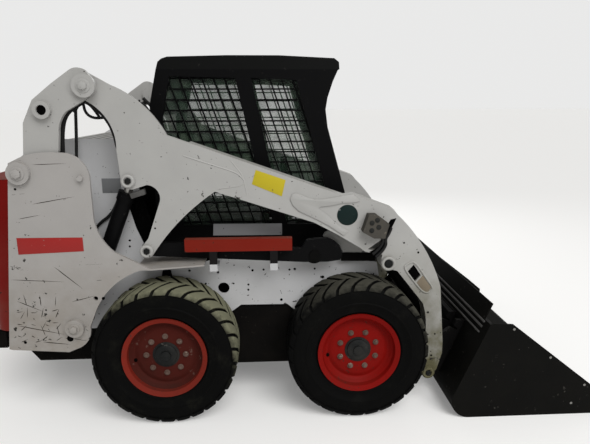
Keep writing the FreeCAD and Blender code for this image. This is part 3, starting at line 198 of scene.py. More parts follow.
class Groups:
    """The effects that more than one finish uses."""

    # turn about Y and scale of each set of lines
    SCRATCH_RUNS = ((0.35, (2.2, 3.0, 26.0)), (-0.9, (2.6, 3.0, 21.0)), (1.3, (1.8, 3.0, 15.0)))

    def __init__(self) -> None:
        """Build every group once."""
        self.chips = self._chips()
        self.scratches = self._scratches()
        self.dust = self._dust()
        self.grain = self._grain()

    @staticmethod
    def _chips() -> ShaderGroup:
        """Small chips that gather in patches.

        Returns:
            The group.
        """
        group = ShaderGroup("paint_chips", {"Scale": 40.0, "Amount": 0.3})
        place = group.given["Vector"]
        fine = group.noise(place, group.given["Scale"], 6.0, 0.62)
        patches = group.ramp(group.noise(place, 3.1, 3.0), 0.44, 0.70)
        lift = group.times(patches, group.given["Amount"])
        group.result("Mask", group.ramp(group.plus(fine, group.times(lift, 0.24)), 0.665, 0.69))
        return group

    @classmethod
    def _scratches(cls) -> ShaderGroup:
        """Thin broken lines along the stretched noise, in three directions.

        Returns:
            The group.
        """
        group = ShaderGroup("scratches", {"Width": 0.006, "Amount": 0.5})
        place = group.given["Vector"]
        masks = []
        for turn, scale in cls.SCRATCH_RUNS:
            mapped = group.add("ShaderNodeMapping", Vector=place, Rotation=(0.0, turn, 0.0), Scale=scale)
            lines = group.add("ShaderNodeTexNoise", Vector=mapped.outputs[0], Scale=1.0, Detail=1.5,
                              Distortion=0.3)
            away = group.math("ABSOLUTE", group.math("SUBTRACT", lines.outputs[0], 0.5))
            thin = group.math("LESS_THAN", away, group.given["Width"])
            broken = group.noise(place, 4.0 + scale[0], 4.0)
            cutoff = group.math("SUBTRACT", 0.80, group.times(group.given["Amount"], 0.26))
            masks.append(group.times(thin, group.math("GREATER_THAN", broken, cutoff)))
        both = group.math("MAXIMUM", masks[0], masks[1])
        group.result("Mask", group.math("MAXIMUM", both, masks[2]))
        return group

    @staticmethod
    def _dust() -> ShaderGroup:
        """Dirt that is thicker near the ground and on what faces up.

        Returns:
            The group.
        """
        group = ShaderGroup("dust", {"Clear Height": 0.9, "Low": 0.6, "Shelf": 0.3, "Scale": 9.0})
        place = group.given["Vector"]
        share = group.math("DIVIDE", group.split(place)[2], group.given["Clear Height"])
        low = group.math("SUBTRACT", 1.0, share, clamp=True)
        facing = group.add("ShaderNodeNewGeometry").outputs["Normal"]
        shelf = group.times(group.ramp(group.split(facing)[2], 0.55, 0.95), group.given["Shelf"])
        amount = group.plus(group.times(low, group.given["Low"]), shelf)
        cloud = group.noise(place, group.given["Scale"], 7.0, 0.62)
        spread = group.plus(group.times(cloud, 1.7), -0.35, clamp=True)
        group.result("Mask", group.times(amount, spread, clamp=True))
        return group

    @staticmethod
    def _grain() -> ShaderGroup:
        """Fine unevenness, for a bump and for roughness.

        Returns:
            The group.
        """
        group = ShaderGroup("grain", {"Scale": 120.0, "Strength": 0.2}, ("Height", "Cloud"))
        place = group.given["Vector"]
        fine = group.noise(place, group.given["Scale"], 4.0)
        broad = group.noise(place, 5.0, 5.0, 0.6)
        group.result("Height", group.times(fine, group.given["Strength"]))
        group.result("Cloud", broad)
        return group


@dataclass
class Wiring(NodeKit):
    """A material's nodes while a finish wires them."""

    shader: Node
    place: Socket
    groups: Groups

    def group(self, name: str, **inputs: object) -> Sequence[Socket]:
        """Place one of the shared groups and give its outputs."""
        shared = getattr(self.groups, name)
        return self.add("ShaderNodeGroup", {"node_tree": shared.tree}, Vector=self.place, **inputs).outputs

    def lead(self, label: str, socket: Socket) -> None:
        """Lead a socket into one of the shader's."""
        self.feed(self.shader.inputs[label], socket)

    def bump(self, height: Socket, distance: float) -> None:
        """Give the shader a bump from a height."""
        made = self.add("ShaderNodeBump", Strength=0.6, Distance=distance, Height=height)
        self.lead("Normal", made.outputs[0])


# Finishes

@dataclass(frozen=True)
class Finish:
    """A material: how to build its nodes, and the record's slot it stands for."""

    name: str
    slot: str

    def build(self, groups: Groups) -> Material:
        """Make the material.

        Args:
            groups: the shared node groups.

        Returns:
            The finished material.
        """
        material = bpy.data.materials.new(self.name)
        material.use_nodes = True
        tree = material.node_tree
        place = tree.nodes.new("ShaderNodeTexCoord").outputs["Object"]
        self.wire(Wiring(tree, tree.nodes["Principled BSDF"], place, groups))
        return material

    def wire(self, kit: Wiring) -> None:
        """Lead the finish's own nodes into the shader."""
        raise NotImplementedError


@dataclass(frozen=True)
class Paint(Finish):
    """Worn machine paint with chips, scratches and dirt."""

    colour: Colour = (0.6, 0.6, 0.58)
    under: Colour = (0.02, 0.018, 0.015)
    dirt: Colour = (0.16, 0.13, 0.09)
    chips: float = 0.35
    chip_scale: float = 40.0
    scratches: float = 0.5
    scratch_width: float = 0.006
    clear_height: float = 1.1
    low_dirt: float = 0.55
    shelf_dirt: float = 0.35
    roughness: float = 0.42
    specular: float = 0.3
    studs: tuple[Point2, ...] = ()
    stud_radius: float = 0.007
    stud_colour: Colour = (0.20, 0.195, 0.18)
    outer_face: float = 0.8635
    bands: tuple[tuple[float, Colour], ...] = ()

    def wire(self, kit: Wiring) -> None:
        """Lead paint, dirt, chips and scratches into the shader.

        Args:
            kit: the material's nodes.
        """
        grain = kit.group("grain", Scale=150.0, Strength=0.25)
        dust = kit.group("dust", Clear_Height=self.clear_height, Low=self.low_dirt, Shelf=self.shelf_dirt,
                         Scale=7.0)["Mask"]
        chips = kit.group("chips", Scale=self.chip_scale, Amount=self.chips)["Mask"]
        lines = kit.group("scratches", Width=self.scratch_width, Amount=self.scratches)["Mask"]
        pale = tuple(min(1.0, c * 1.06) for c in self.colour)
        dull = tuple(c * 0.86 for c in self.colour)
        coat = kit.blend(grain["Cloud"], dull, pale)
        dirty = kit.blend(dust, coat, self.dirt)
        bare = kit.math("MAXIMUM", chips, lines)
        painted = kit.blend(bare, dirty, self.under)
        if self.studs:
            painted = kit.blend(self.stud_mask(kit), painted, self.stud_colour)
        for top, tint in self.bands:
            below = kit.math("LESS_THAN", kit.split(kit.place)[2], top)
            painted = kit.blend(below, painted, tint)
        kit.lead("Base Color", painted)
        worn = kit.times(kit.math("MAXIMUM", bare, dust), 0.9 - self.roughness)
        kit.lead("Roughness", kit.plus(worn, self.roughness, clamp=True))
        kit.bump(kit.math("SUBTRACT", grain["Height"], kit.times(bare, 0.5)), 0.0008)
        kit.shader.inputs["Specular IOR Level"].default_value = self.specular

    def stud_mask(self, kit: Wiring) -> Socket:
        """Mask of the flush bright bolt heads on the outer faces, from their places on the XZ plane.

        Args:
            kit: the material's nodes.

        Returns:
            The mask's socket.
        """
        x_now, y_now, z_now = kit.split(kit.place)
        flat = kit.add("ShaderNodeCombineXYZ", X=x_now, Z=z_now).outputs[0]
        mask: object = 0.0
        for x, z in self.studs:
            away = kit.add("ShaderNodeVectorMath", {"operation": "DISTANCE"}, _0=flat, _1=(x, 0.0, z))
            inside = kit.math("LESS_THAN", away.outputs["Value"], self.stud_radius)
            mask = kit.math("MAXIMUM", inside, mask)
        outer = kit.math("GREATER_THAN", kit.math("ABSOLUTE", y_now), self.outer_face)
        return kit.times(mask, outer)


@dataclass(frozen=True)
class Rubber(Finish):
    """Tyre rubber: black side walls, and dry mud where the piece's dust attribute is high."""

    colour: Colour = (0.0026, 0.0026, 0.0025)
    mud: Colour = (0.170, 0.168, 0.112)
    worn: float = 1.0

    def wire(self, kit: Wiring) -> None:
        """Lead rubber and mud into the shader.

        Args:
            kit: the material's nodes.
        """
        grain = kit.group("grain", Scale=90.0, Strength=0.6)
        tread = kit.add("ShaderNodeAttribute", {"attribute_name": "dust"}).outputs["Fac"]
        uneven = kit.plus(kit.times(kit.noise(kit.place, 28.0, 7.0, 0.65), 0.9), -0.42)
        mask = kit.ramp(kit.plus(kit.times(tread, self.worn), uneven), 0.22, 0.95)
        smear = kit.ramp(kit.noise(kit.place, 6.0, 8.0, 0.7), 0.5, 0.75)
        film = kit.blend(kit.times(smear, 0.05), self.colour, self.mud)
        kit.lead("Base Color", kit.blend(mask, film, self.mud))
        kit.lead("Roughness", kit.plus(kit.times(mask, 0.3), 0.62))
        kit.bump(grain["Height"], 0.002)
        kit.shader.inputs["Specular IOR Level"].default_value = 0.04


@dataclass(frozen=True)
class Grease(Finish):
    """Dark oily metal, with paler dry spots."""

    colour: Colour = (0.02, 0.022, 0.022)
    spots: Colour = (0.13, 0.125, 0.11)
    metallic: float = 0.4
    roughness: float = 0.5

    def wire(self, kit: Wiring) -> None:
        """Lead metal, oil and spots into the shader.

        Args:
            kit: the material's nodes.
        """
        grain = kit.group("grain", Scale=70.0, Strength=0.8)
        spots = kit.group("chips", Scale=55.0, Amount=0.6)["Mask"]
        smear = kit.ramp(grain["Cloud"], 0.45, 0.7)
        base = kit.blend(kit.times(smear, 0.35), self.colour, self.spots)
        kit.lead("Base Color", kit.blend(spots, base, self.spots))
        kit.lead("Roughness", kit.plus(kit.times(smear, 0.3), self.roughness, clamp=True))
        kit.bump(grain["Height"], 0.0015)
        kit.shader.inputs["Metallic"].default_value = self.metallic
        kit.shader.inputs["Specular IOR Level"].default_value = 0.25


@dataclass(frozen=True)
class Polished(Finish):
    """Chromed rods: bright metal with a thin oily film."""

    chrome: Colour = (0.55, 0.55, 0.54)
    oily: Colour = (0.30, 0.28, 0.25)

    def wire(self, kit: Wiring) -> None:
        """Lead metal and film into the shader.

        Args:
            kit: the material's nodes.
        """
        film = kit.ramp(kit.group("grain", Scale=40.0, Strength=0.1)["Cloud"], 0.5, 0.75)
        kit.lead("Base Color", kit.blend(film, self.chrome, self.oily))
        kit.lead("Roughness", kit.plus(kit.times(film, 0.25), 0.16))
        kit.shader.inputs["Metallic"].default_value = 1.0


@dataclass(frozen=True)
class Pane(Finish):
    """Dusty clear glass, a little clearer in the cab's front half."""

    clear: Colour = (0.040, 0.070, 0.048)
    dusty: Colour = (0.14, 0.18, 0.13)
    front_x: float = -0.300
    tint: float = 0.30
    dust: float = 0.20
    front_less: float = 0.08

    def wire(self, kit: Wiring) -> None:
        """Lead glass and dust into the shader.

        Args:
            kit: the material's nodes.
        """
        mask = kit.ramp(kit.noise(kit.place, 5.0, 8.0, 0.7), 0.42, 0.8)
        kit.lead("Base Color", kit.blend(mask, self.clear, self.dusty))
        kit.lead("Roughness", kit.plus(kit.times(mask, 0.3), 0.04))
        front = kit.math("GREATER_THAN", kit.split(kit.place)[0], self.front_x)
        shade = kit.plus(kit.times(mask, self.dust), self.tint)
        kit.lead("Alpha", kit.math("SUBTRACT", shade, kit.times(front, self.front_less)))
        kit.shader.inputs["IOR"].default_value = 1.45


@dataclass(frozen=True)
class Vinyl(Finish):
    """Black seat cover with a pebbled grain."""

    colour: Colour = (0.014, 0.014, 0.015)
    faded: Colour = (0.04, 0.039, 0.036)

    def wire(self, kit: Wiring) -> None:
        """Lead the cover's colour and grain into the shader.

        Args:
            kit: the material's nodes.
        """
        pebble = kit.add("ShaderNodeTexVoronoi", Vector=kit.place, Scale=420.0)
        worn = kit.ramp(kit.group("grain", Scale=60.0, Strength=0.3)["Cloud"], 0.5, 0.72)
        kit.lead("Base Color", kit.blend(worn, self.colour, self.faded))
        kit.lead("Roughness", kit.plus(kit.times(worn, 0.2), 0.5))
        kit.bump(pebble.outputs["Distance"], 0.0006)


@dataclass(frozen=True)
class Lens(Finish):
    """Lamp lens with fine ribs, the grooves between them painted darker as painted shade."""

    colour: Colour = (0.45, 0.01, 0.008)

    def wire(self, kit: Wiring) -> None:
        """Lead the lens's colour and ribs into the shader.

        Args:
            kit: the material's nodes.
        """
        ribs = kit.add("ShaderNodeTexWave", {"bands_direction": "Z"}, Vector=kit.place, Scale=60.0).outputs[1]
        # painted shade: the grooves, low in the bump, take the darker red
        dark = tuple(c * 0.55 for c in self.colour)
        kit.lead("Base Color", kit.blend(ribs, dark, self.colour))
        kit.lead("Roughness", kit.plus(kit.times(ribs, 0.1), 0.12))
        kit.bump(ribs, 0.001)


class Palette:
    """Every material of the machine, by its finish's name."""

    WHITE: Colour = (0.38, 0.375, 0.36)
    ARM_DIRT: Colour = (0.10, 0.092, 0.048)
    FINISHES: tuple[Finish, ...] = (
        Paint("white_paint", "white_paint", colour=WHITE, chips=0.12, scratches=0.25, scratch_width=0.004),
        Paint("tower_paint", "white_paint", colour=(0.355, 0.34, 0.325), dirt=(0.15, 0.115, 0.07),
              chips=0.26, chip_scale=30.0, scratches=0.45, scratch_width=0.0045, clear_height=1.1,
              low_dirt=1.2),
        Paint("arm_paint", "white_paint", colour=WHITE, dirt=ARM_DIRT, chips=0.17, scratches=0.24,
              scratch_width=0.004, clear_height=0.98, low_dirt=2.3),
        Paint("foot_paint", "white_paint", colour=WHITE, dirt=ARM_DIRT, chips=0.72, chip_scale=30.0,
              scratches=0.45, clear_height=0.98, low_dirt=2.3, roughness=0.55),
        Paint("side_paint", "white_paint", colour=(0.55, 0.55, 0.555), chips=0.14, scratches=0.25,
              clear_height=0.75, low_dirt=0.5, roughness=0.5),
        Paint("wheel_paint", "red_paint", colour=(0.205, 0.003, 0.002), under=(0.05, 0.02, 0.015),
              dirt=(0.045, 0.016, 0.010), chips=0.2, scratches=0.2, clear_height=0.8, low_dirt=0.35,
              roughness=0.48, specular=0.06),
        Paint("rear_wheel_paint", "red_paint", colour=(0.20, 0.016, 0.008), under=(0.05, 0.03, 0.025),
              dirt=(0.030, 0.014, 0.010), chips=0.35, scratches=0.3, clear_height=0.8, low_dirt=0.6,
              roughness=0.5, specular=0.1),
        # rear_dish_paint: its dark red, far darker than the front rims', is painted shade; its chips and dirt
        # are wear
        Paint("rear_dish_paint", "red_paint", colour=(0.065, 0.009, 0.006), under=(0.10, 0.05, 0.04),
              dirt=(0.022, 0.012, 0.009), chips=0.45, chip_scale=34.0, scratches=0.3, clear_height=0.8,
              low_dirt=0.9, roughness=0.6, specular=0.06),
        Paint("tail_paint", "red_paint", colour=(0.175, 0.003, 0.002), chips=0.12, scratches=0.2,
              low_dirt=0.4, specular=0.1),
        # bands: near-black between z 0.868 and 0.9375 is painted shade under the red channel; below z 0.868
        # the hooks are greyed like the side plate
        Paint("support_paint", "red_paint", colour=(0.17, 0.009, 0.003), under=(0.08, 0.02, 0.012),
              chips=0.15, scratches=0.25, low_dirt=0.2, specular=0.12,
              bands=((0.9375, (0.006, 0.005, 0.005)), (0.868, (0.46, 0.46, 0.465)))),
        Paint("black_paint", "black_paint", colour=(0.0035, 0.0035, 0.0038), under=(0.030, 0.028, 0.025),
              dirt=(0.016, 0.014, 0.011), chips=0.12, scratches=0.12, low_dirt=0.4, shelf_dirt=0.2,
              roughness=0.45, specular=0.05),
        Paint("roof_paint", "black_paint", colour=(0.0040, 0.0042, 0.0040), under=(0.03, 0.028, 0.025),
              dirt=(0.022, 0.021, 0.018), chips=0.1, scratches=0.1, low_dirt=0.3, shelf_dirt=0.6,
              roughness=0.45, specular=0.08),
        Paint("bucket_paint", "black_paint", colour=(0.0035, 0.0035, 0.0032), under=(0.045, 0.042, 0.037),
              dirt=(0.013, 0.012, 0.009), chips=0.10, chip_scale=26.0, scratches=0.3, scratch_width=0.003,
              low_dirt=0.3, shelf_dirt=0.15, roughness=0.5, specular=0.05,
              studs=((1.134, 0.515), (1.351, 0.345), (1.498, 0.066), (1.561, 0.175))),
        # frame_paint: near-black, the frame's own black on most parts and painted shade on the chain cases
        # and the rear bumper
        Paint("frame_paint", "dark_steel", colour=(0.003, 0.003, 0.003), under=(0.02, 0.018, 0.015),
              dirt=(0.013, 0.011, 0.009), chips=0.2, scratches=0.2, low_dirt=0.8, roughness=0.6,
              specular=0.03),
        # hole_black: near-black painted shade for holes, slots, gaps and the side plate's opening; the valves
        # take it as their own black
        Paint("hole_black", "dark_steel", colour=(0.0015, 0.0015, 0.0015), under=(0.004, 0.004, 0.004),
              dirt=(0.005, 0.004, 0.003), roughness=0.8, specular=0.02),
        Paint("scratch_dark", "dark_steel", colour=(0.030, 0.022, 0.017), under=(0.012, 0.010, 0.009),
              dirt=(0.06, 0.04, 0.025), chips=0.9, roughness=0.7, specular=0.1),
        Paint("badge_red", "red_paint", colour=(0.30, 0.014, 0.012), under=(0.24, 0.20, 0.18), chips=0.25,
              scratches=0.25, low_dirt=0.1, roughness=0.4),
        Paint("plate_yellow", "white_paint", colour=(0.46, 0.37, 0.012), under=(0.10, 0.08, 0.03), chips=0.1,
              scratches=0.2, low_dirt=0.1, roughness=0.4),
        Paint("plate_green", "black_paint", colour=(0.005, 0.015, 0.014), under=(0.16, 0.17, 0.17),
              chips=0.1, scratches=0.12, low_dirt=0.0, roughness=0.4, specular=0.15),
        Paint("plate_grey", "white_paint", colour=(0.20, 0.205, 0.21), chips=0.2, scratches=0.4,
              low_dirt=0.1, roughness=0.5),
        Paint("plate_pale", "white_paint", colour=(0.34, 0.34, 0.35), chips=0.2, scratches=0.4, low_dirt=0.1,
              roughness=0.5),
        Paint("rust", "dark_steel", colour=(0.20, 0.165, 0.12), under=(0.05, 0.03, 0.02),
              dirt=(0.12, 0.10, 0.07), chips=0.8, scratches=0.2, low_dirt=0.6, roughness=0.8, specular=0.15),
        Rubber("tyre_rubber", "tyre_rubber"),
        Rubber("front_rubber", "tyre_rubber", mud=(0.060, 0.058, 0.046), worn=0.86),
        Grease("grease", "dark_steel", colour=(0.008, 0.009, 0.009), spots=(0.07, 0.066, 0.058)),
        Grease("bolt_steel", "dark_steel", colour=(0.10, 0.062, 0.048), spots=(0.24, 0.18, 0.15),
               metallic=0.2, roughness=0.6),
        Grease("bar_steel", "dark_steel", colour=(0.075, 0.073, 0.070), spots=(0.15, 0.145, 0.14),
               metallic=0.3, roughness=0.5),
        Grease("block_steel", "dark_steel", colour=(0.060, 0.055, 0.047), spots=(0.14, 0.125, 0.10),
               metallic=0.3, roughness=0.65),
        Grease("hose_rubber", "dark_steel", colour=(0.006, 0.006, 0.006), spots=(0.025, 0.025, 0.022),
               metallic=0.0, roughness=0.6),
        Polished("rod_chrome", "rod_chrome"),
        Pane("pane_glass", "pane_glass"),
        Vinyl("seat_vinyl", "seat_vinyl"),
        Lens("tail_lens", "lamp_red"),
    )

    def __init__(self) -> None:
        """Build the shared groups and every material."""
        groups = Groups()
        self.materials = {finish.name: finish.build(groups) for finish in self.FINISHES}
        self.slots = {finish.name: finish.slot for finish in self.FINISHES}

    def coat(self, thing: Thing, name: str) -> None:
        """Give a CAD node or a piece one of the materials."""
        thing.data.materials.clear()
        thing.data.materials.append(self.materials[name])


# Modelling moves

HEXAGON = 6
ROUND = 40
SUNK = 0.001  # how far a raised piece reaches into the face below it


class Bench:
    """The moves that make a mesh, each ending with the object at the origin and its place in its mesh."""

    @staticmethod
    def clear() -> None:
        """Leave edit mode and deselect everything."""
        if bpy.context.object and bpy.context.object.mode != "OBJECT":
            bpy.ops.object.mode_set(mode="OBJECT")
        bpy.ops.object.select_all(action="DESELECT")

    @classmethod
    def hold(cls, *things: Thing) -> None:
        """Select only these objects, the first one active.

        Args:
            things: the objects.
        """
        cls.clear()
        for thing in things:
            thing.select_set(True)
        bpy.context.view_layer.objects.active = things[0]

    @classmethod
    def settle(cls, thing: Thing, name: str) -> Thing:
        """Apply an object's place and name it.

        Args:
            thing: the object.
            name: its new name.

        Returns:
            The same object.
        """
        cls.hold(thing)
        bpy.ops.object.transform_apply(location=True, rotation=True, scale=True)
        thing.name = thing.data.name = name
        cls.clear()
        return thing

    @classmethod
    def modify(cls, thing: Thing, kind: str, **settings: object) -> Thing:
        """Add a modifier, set it and apply it.

        Args:
            thing: the mesh object.
            kind: the modifier's type name.
            settings: its attributes.

        Returns:
            The same object.
        """
        cls.hold(thing)
        modifier = thing.modifiers.new(kind.lower(), kind)
        for key, value in settings.items():
            setattr(modifier, key, value)
        bpy.ops.object.modifier_apply(modifier=modifier.name)
        cls.clear()
        return thing

    @classmethod
    def edit(cls, thing: Thing, *moves: Callable[[], object]) -> Thing:
        """Run operators in edit mode with everything selected.

        Args:
            thing: the mesh object.
            moves: what to run, in order.

        Returns:
            The same object.
        """
        cls.hold(thing)
        bpy.ops.object.mode_set(mode="EDIT")
        bpy.ops.mesh.select_all(action="SELECT")
        for move in moves:
            move()
        bpy.ops.object.mode_set(mode="OBJECT")
        cls.clear()
        return thing

    @classmethod
    def bevel(cls, thing: Thing, width: float, segments: int = 2, degrees: float = 50.0) -> None:
        """Round the edges that are sharper than an angle."""
        cls.modify(thing, "BEVEL", width=width, segments=segments, limit_method="ANGLE",
                   angle_limit=math.radians(degrees))

    @classmethod
    def smooth(cls, thing: Thing, degrees: float = 35.0) -> Thing:
        """Shade smooth, keeping edges sharper than an angle.

        Args:
            thing: the mesh object.
            degrees: the angle from which an edge stays sharp.

        Returns:
            The same object.
        """
        cls.hold(thing)
        bpy.ops.object.shade_smooth_by_angle(angle=math.radians(degrees))
        cls.clear()
        return thing

    @classmethod
    def drum(cls, name: str, centre: Point3, radius: float, length: float, sides: int = ROUND,
             bevel: float = 0.0) -> Thing:
        """Round or hexagonal bar along Y about its centre, with bevelled rims.

        Args:
            name: the piece's name.
            centre: its middle.
            radius: from its axis to its corners.
            length: its length along Y.
            sides: how many sides it has.
            bevel: width of the rounded rims.

        Returns:
            The mesh object.
        """
        cls.clear()
        bpy.ops.mesh.primitive_cylinder_add(vertices=sides, radius=radius, depth=length, location=centre,
                                            rotation=(math.pi / 2, 0, 0))
        made = cls.settle(bpy.context.object, name)
        if bevel:
            cls.bevel(made, bevel)
        return cls.smooth(made)

    @classmethod
    def sheet(cls, name: str, outline: Sequence[Point2], low: float, high: float, bevel: float = 0.0,
              segments: int = 2) -> Thing:
        """Flat piece: an outline on the XZ plane, extruded along Y.

        Args:
            name: the piece's name.
            outline: corners on the plane, in order.
            low: the lower Y.
            high: the upper Y.
            bevel: width of the rounded edges.
            segments: steps of the rounding.

        Returns:
            The mesh object.
        """
        across = {"value": (0.0, high - low, 0.0)}
        cls.clear()
        bpy.ops.mesh.primitive_circle_add(vertices=len(outline), fill_type="NGON")
        made = bpy.context.object
        for vertex, (x, z) in zip(made.data.vertices, outline):
            vertex.co = (x, low, z)
        cls.edit(made, lambda: bpy.ops.mesh.extrude_region_move(TRANSFORM_OT_translate=across),
                 lambda: bpy.ops.mesh.select_all(action="SELECT"),
                 lambda: bpy.ops.mesh.normals_make_consistent(inside=False))
        made = cls.settle(made, name)
        if bevel:
            cls.bevel(made, bevel, segments, 40)
            cls.smooth(made, 40)
        return made

    @classmethod
    def tube(cls, name: str, points: Sequence[Point3], radius: float) -> Thing:
        """Round tube with closed ends along a smooth line, as a mesh.

        Args:
            name: the piece's name.
            points: the line's control points.
            radius: the tube's radius.

        Returns:
            The mesh object.
        """
        cls.clear()
        curve = bpy.data.curves.new(name, "CURVE")
        curve.dimensions = "3D"
        curve.bevel_depth = radius
        curve.bevel_resolution = 5
        curve.use_fill_caps = True
        spline = curve.splines.new("NURBS")
        spline.points.add(len(points) - 1)
        for point, place in zip(spline.points, points):
            point.co = (*place, 1.0)
        spline.order_u = 3
        spline.use_endpoint_u = True
        spline.resolution_u = 10
        made = bpy.data.objects.new(name, curve)
        bpy.context.scene.collection.objects.link(made)
        cls.hold(made)
        bpy.ops.object.convert(target="MESH")
        made = bpy.context.object
        made.name = made.data.name = name
        cls.edit(made, lambda: bpy.ops.mesh.remove_doubles(threshold=1e-6),
                 lambda: bpy.ops.mesh.normals_make_consistent(inside=False))
        return cls.smooth(made, 50)

    @classmethod
    def spun(cls, name: str, section: Sequence[Point2], centre: Point3, steps: int = 96) -> Thing:
        """Ring: a closed section turned about an axle along Y.

        Args:
            name: the piece's name.
            section: corners as (distance along the axle, radius), in order.
            centre: the axle's middle.
            steps: how many faces it has round the axle.

        Returns:
            The mesh object.
        """
        cls.clear()
        bpy.ops.mesh.primitive_circle_add(vertices=len(section), fill_type="NOTHING")
        made = bpy.context.object
        for vertex, (along, radius) in zip(made.data.vertices, section):
            vertex.co = (0.0, along, radius)
        turn = {"steps": steps, "angle": math.tau, "center": (0, 0, 0), "axis": (0, 1, 0)}
        cls.edit(made, lambda: bpy.ops.mesh.spin(**turn),
                 lambda: bpy.ops.mesh.select_all(action="SELECT"),
                 lambda: bpy.ops.mesh.remove_doubles(threshold=1e-5),
                 lambda: bpy.ops.mesh.normals_make_consistent(inside=False))
        made.location = centre
        return cls.smooth(cls.settle(made, name), 30)

    @staticmethod
    def copy(thing: Thing, name: str, matrix: Matrix) -> Thing:
        """Copy of a piece with its own mesh, moved by a matrix.

        Args:
            thing: the piece.
            name: the copy's name.
            matrix: the move, which may mirror.

        Returns:
            The copy.
        """
        made = thing.copy()
        made.data = thing.data.copy()
        bpy.context.scene.collection.objects.link(made)
        made.data.transform(matrix)
        if matrix.determinant() < 0:
            made.data.flip_normals()
        made.name = made.data.name = name
        return made

    @classmethod
    def join(cls, name: str, things: Iterable[Thing]) -> Thing:
        """Join pieces into one object.

        Args:
            name: the object's name.
            things: the pieces, which go into it.

        Returns:
            The object.
        """
        parts = list(things)
        cls.hold(*parts)
        if len(parts) > 1:
            bpy.ops.object.join()
        made = bpy.context.object
        made.name = made.data.name = name
        cls.clear()
        return made

    @classmethod
    def inflate(cls, thing: Thing, voxel: float, pressure: float, cap: float) -> Thing:
        """Remesh a closed form and swell it as padded cloth, no point moving further than the cap.

        Args:
            thing: the closed form.
            voxel: size of the even mesh.
            pressure: pressure inside the cloth.
            cap: furthest that a point may move.

        Returns:
            The swollen piece.
        """
        cls.modify(thing, "REMESH", mode="VOXEL", voxel_size=voxel)
        start = [vertex.co.copy() for vertex in thing.data.vertices]
        cls.hold(thing)
        cloth = thing.modifiers.new("cloth", "CLOTH")
        cloth.settings.use_pressure = True
        cloth.settings.uniform_pressure_force = pressure
        cloth.settings.effector_weights.gravity = 0.0
        for step in range(1, 21):
            bpy.context.scene.frame_set(step)
        bpy.ops.object.modifier_apply(modifier=cloth.name)
        bpy.context.scene.frame_set(1)
        for vertex, place in zip(thing.data.vertices, start):
            move = vertex.co - place
            if move.length > cap:
                vertex.co = place + move.normalized() * cap
        cls.modify(thing, "SMOOTH", factor=0.5, iterations=4)
        cls.modify(thing, "SUBSURF", levels=1)
        return cls.smooth(thing, 80)


@dataclass
class SubAssembly:
    """A part of the machine that dresses its own CAD nodes and adds its own pieces."""

    nodes: dict
    palette: Palette

    def coat(self, finish: str, *names: str) -> None:
        """Give CAD nodes a finish."""
        for name in names:
            self.palette.coat(self.nodes[name], finish)

    def fit(self, piece: Thing, finish: str, body: str, replaces: Sequence[str] = ()) -> Thing:
        """Give a piece its finish and its body.

        Args:
            piece: the finished mesh.
            finish: a finish's name.
            body: the CAD body that it rides on.
            replaces: CAD nodes that it stands for.

        Returns:
            The piece.
        """
        self.palette.coat(piece, finish)
        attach(piece, body)
        if replaces:
            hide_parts(*replaces)
        LOG.info("%s rides on %s", piece.name, body)
        return piece

    def studs(self, name: str, rows: Sequence[Stud], face_y: float, finish: str, body: str) -> None:
        """Like fasteners, plugs or holes on both sides, one piece a side.

        Args:
            name: the pieces' name, before the side's word.
            rows: the fasteners.
            face_y: the face that they stand on, from the middle.
            finish: a finish's name.
            body: the CAD body that they ride on.
        """
        for side in Side:
            parts = []
            for index, row in enumerate(rows):
                centre = (row.x, side.value * (face_y + row.height / 2 - SUNK), row.z)
                length = row.height + 2 * SUNK
                parts.append(Bench.drum(f"{name}_{index}", centre, row.radius, length, row.sides, row.bevel))
            self.fit(Bench.join(f"{name}_{side.word}", parts), finish, body)

    def patch(self, name: str, outline: Sequence[Point2], face_y: float, height: float, finish: str,
              body: str, bevel: float = 0.0004) -> None:
        """Raised flat piece of the same outline on both sides.

        Args:
            name: the pieces' name, before the side's word.
            outline: corners on the XZ plane, in order.
            face_y: the face that they stand on, from the middle.
            height: how far they stand out.
            finish: a finish's name.
            body: the CAD body that they ride on.
            bevel: width of the rounded edges.
        """
        for side in Side:
            low, high = span(side, face_y - SUNK, face_y + height)
            self.fit(Bench.sheet(f"{name}_{side.word}", outline, low, high, bevel), finish, body)

    def line(self, name: str, side: Side, points: Sequence[Point3], radius: float, finish: str,
             body: str) -> None:
        """Round hose or bead on one side.

        Args:
            name: the piece's name, before the side's word.
            side: the side that it is on.
            points: its run, with the distance from the middle as Y.
            radius: its radius.
            finish: a finish's name.
            body: the CAD body that it rides on.
        """
        path = [(x, side.value * y, z) for x, y, z in points]
        self.fit(Bench.tube(f"{name}_{side.word}", path, radius), finish, body)

    def build(self) -> None:
        """Dress the nodes and add the pieces."""
        raise NotImplementedError


@dataclass(frozen=True)
class Stud:
    """A small fastener, plug or hole on a face that looks sideways: place on the XZ plane and size."""

    x: float
    z: float
    radius: float = 0.008
    height: float = 0.005
    sides: int = HEXAGON
    bevel: float = 0.0008


def hole(x: float, z: float, radius: float) -> Stud:
    """A hole, as a thin near-black plug that hardly stands out; its black is painted shade inside the hole.
    """
    return Stud(x, z, radius, height=0.0003, sides=24, bevel=0.0)


def at_width(line: Sequence[Point2], y: float) -> list[Point3]:
    """A line on the XZ plane, moved to a distance from the middle."""
    return [(x, y, z) for x, z in line]


def span(side: Side, inner: float, outer: float) -> tuple[float, float]:
    """The low and high Y of a piece between two distances from the middle, on one side."""
    return (inner, outer) if side is Side.LEFT else (-outer, -inner)


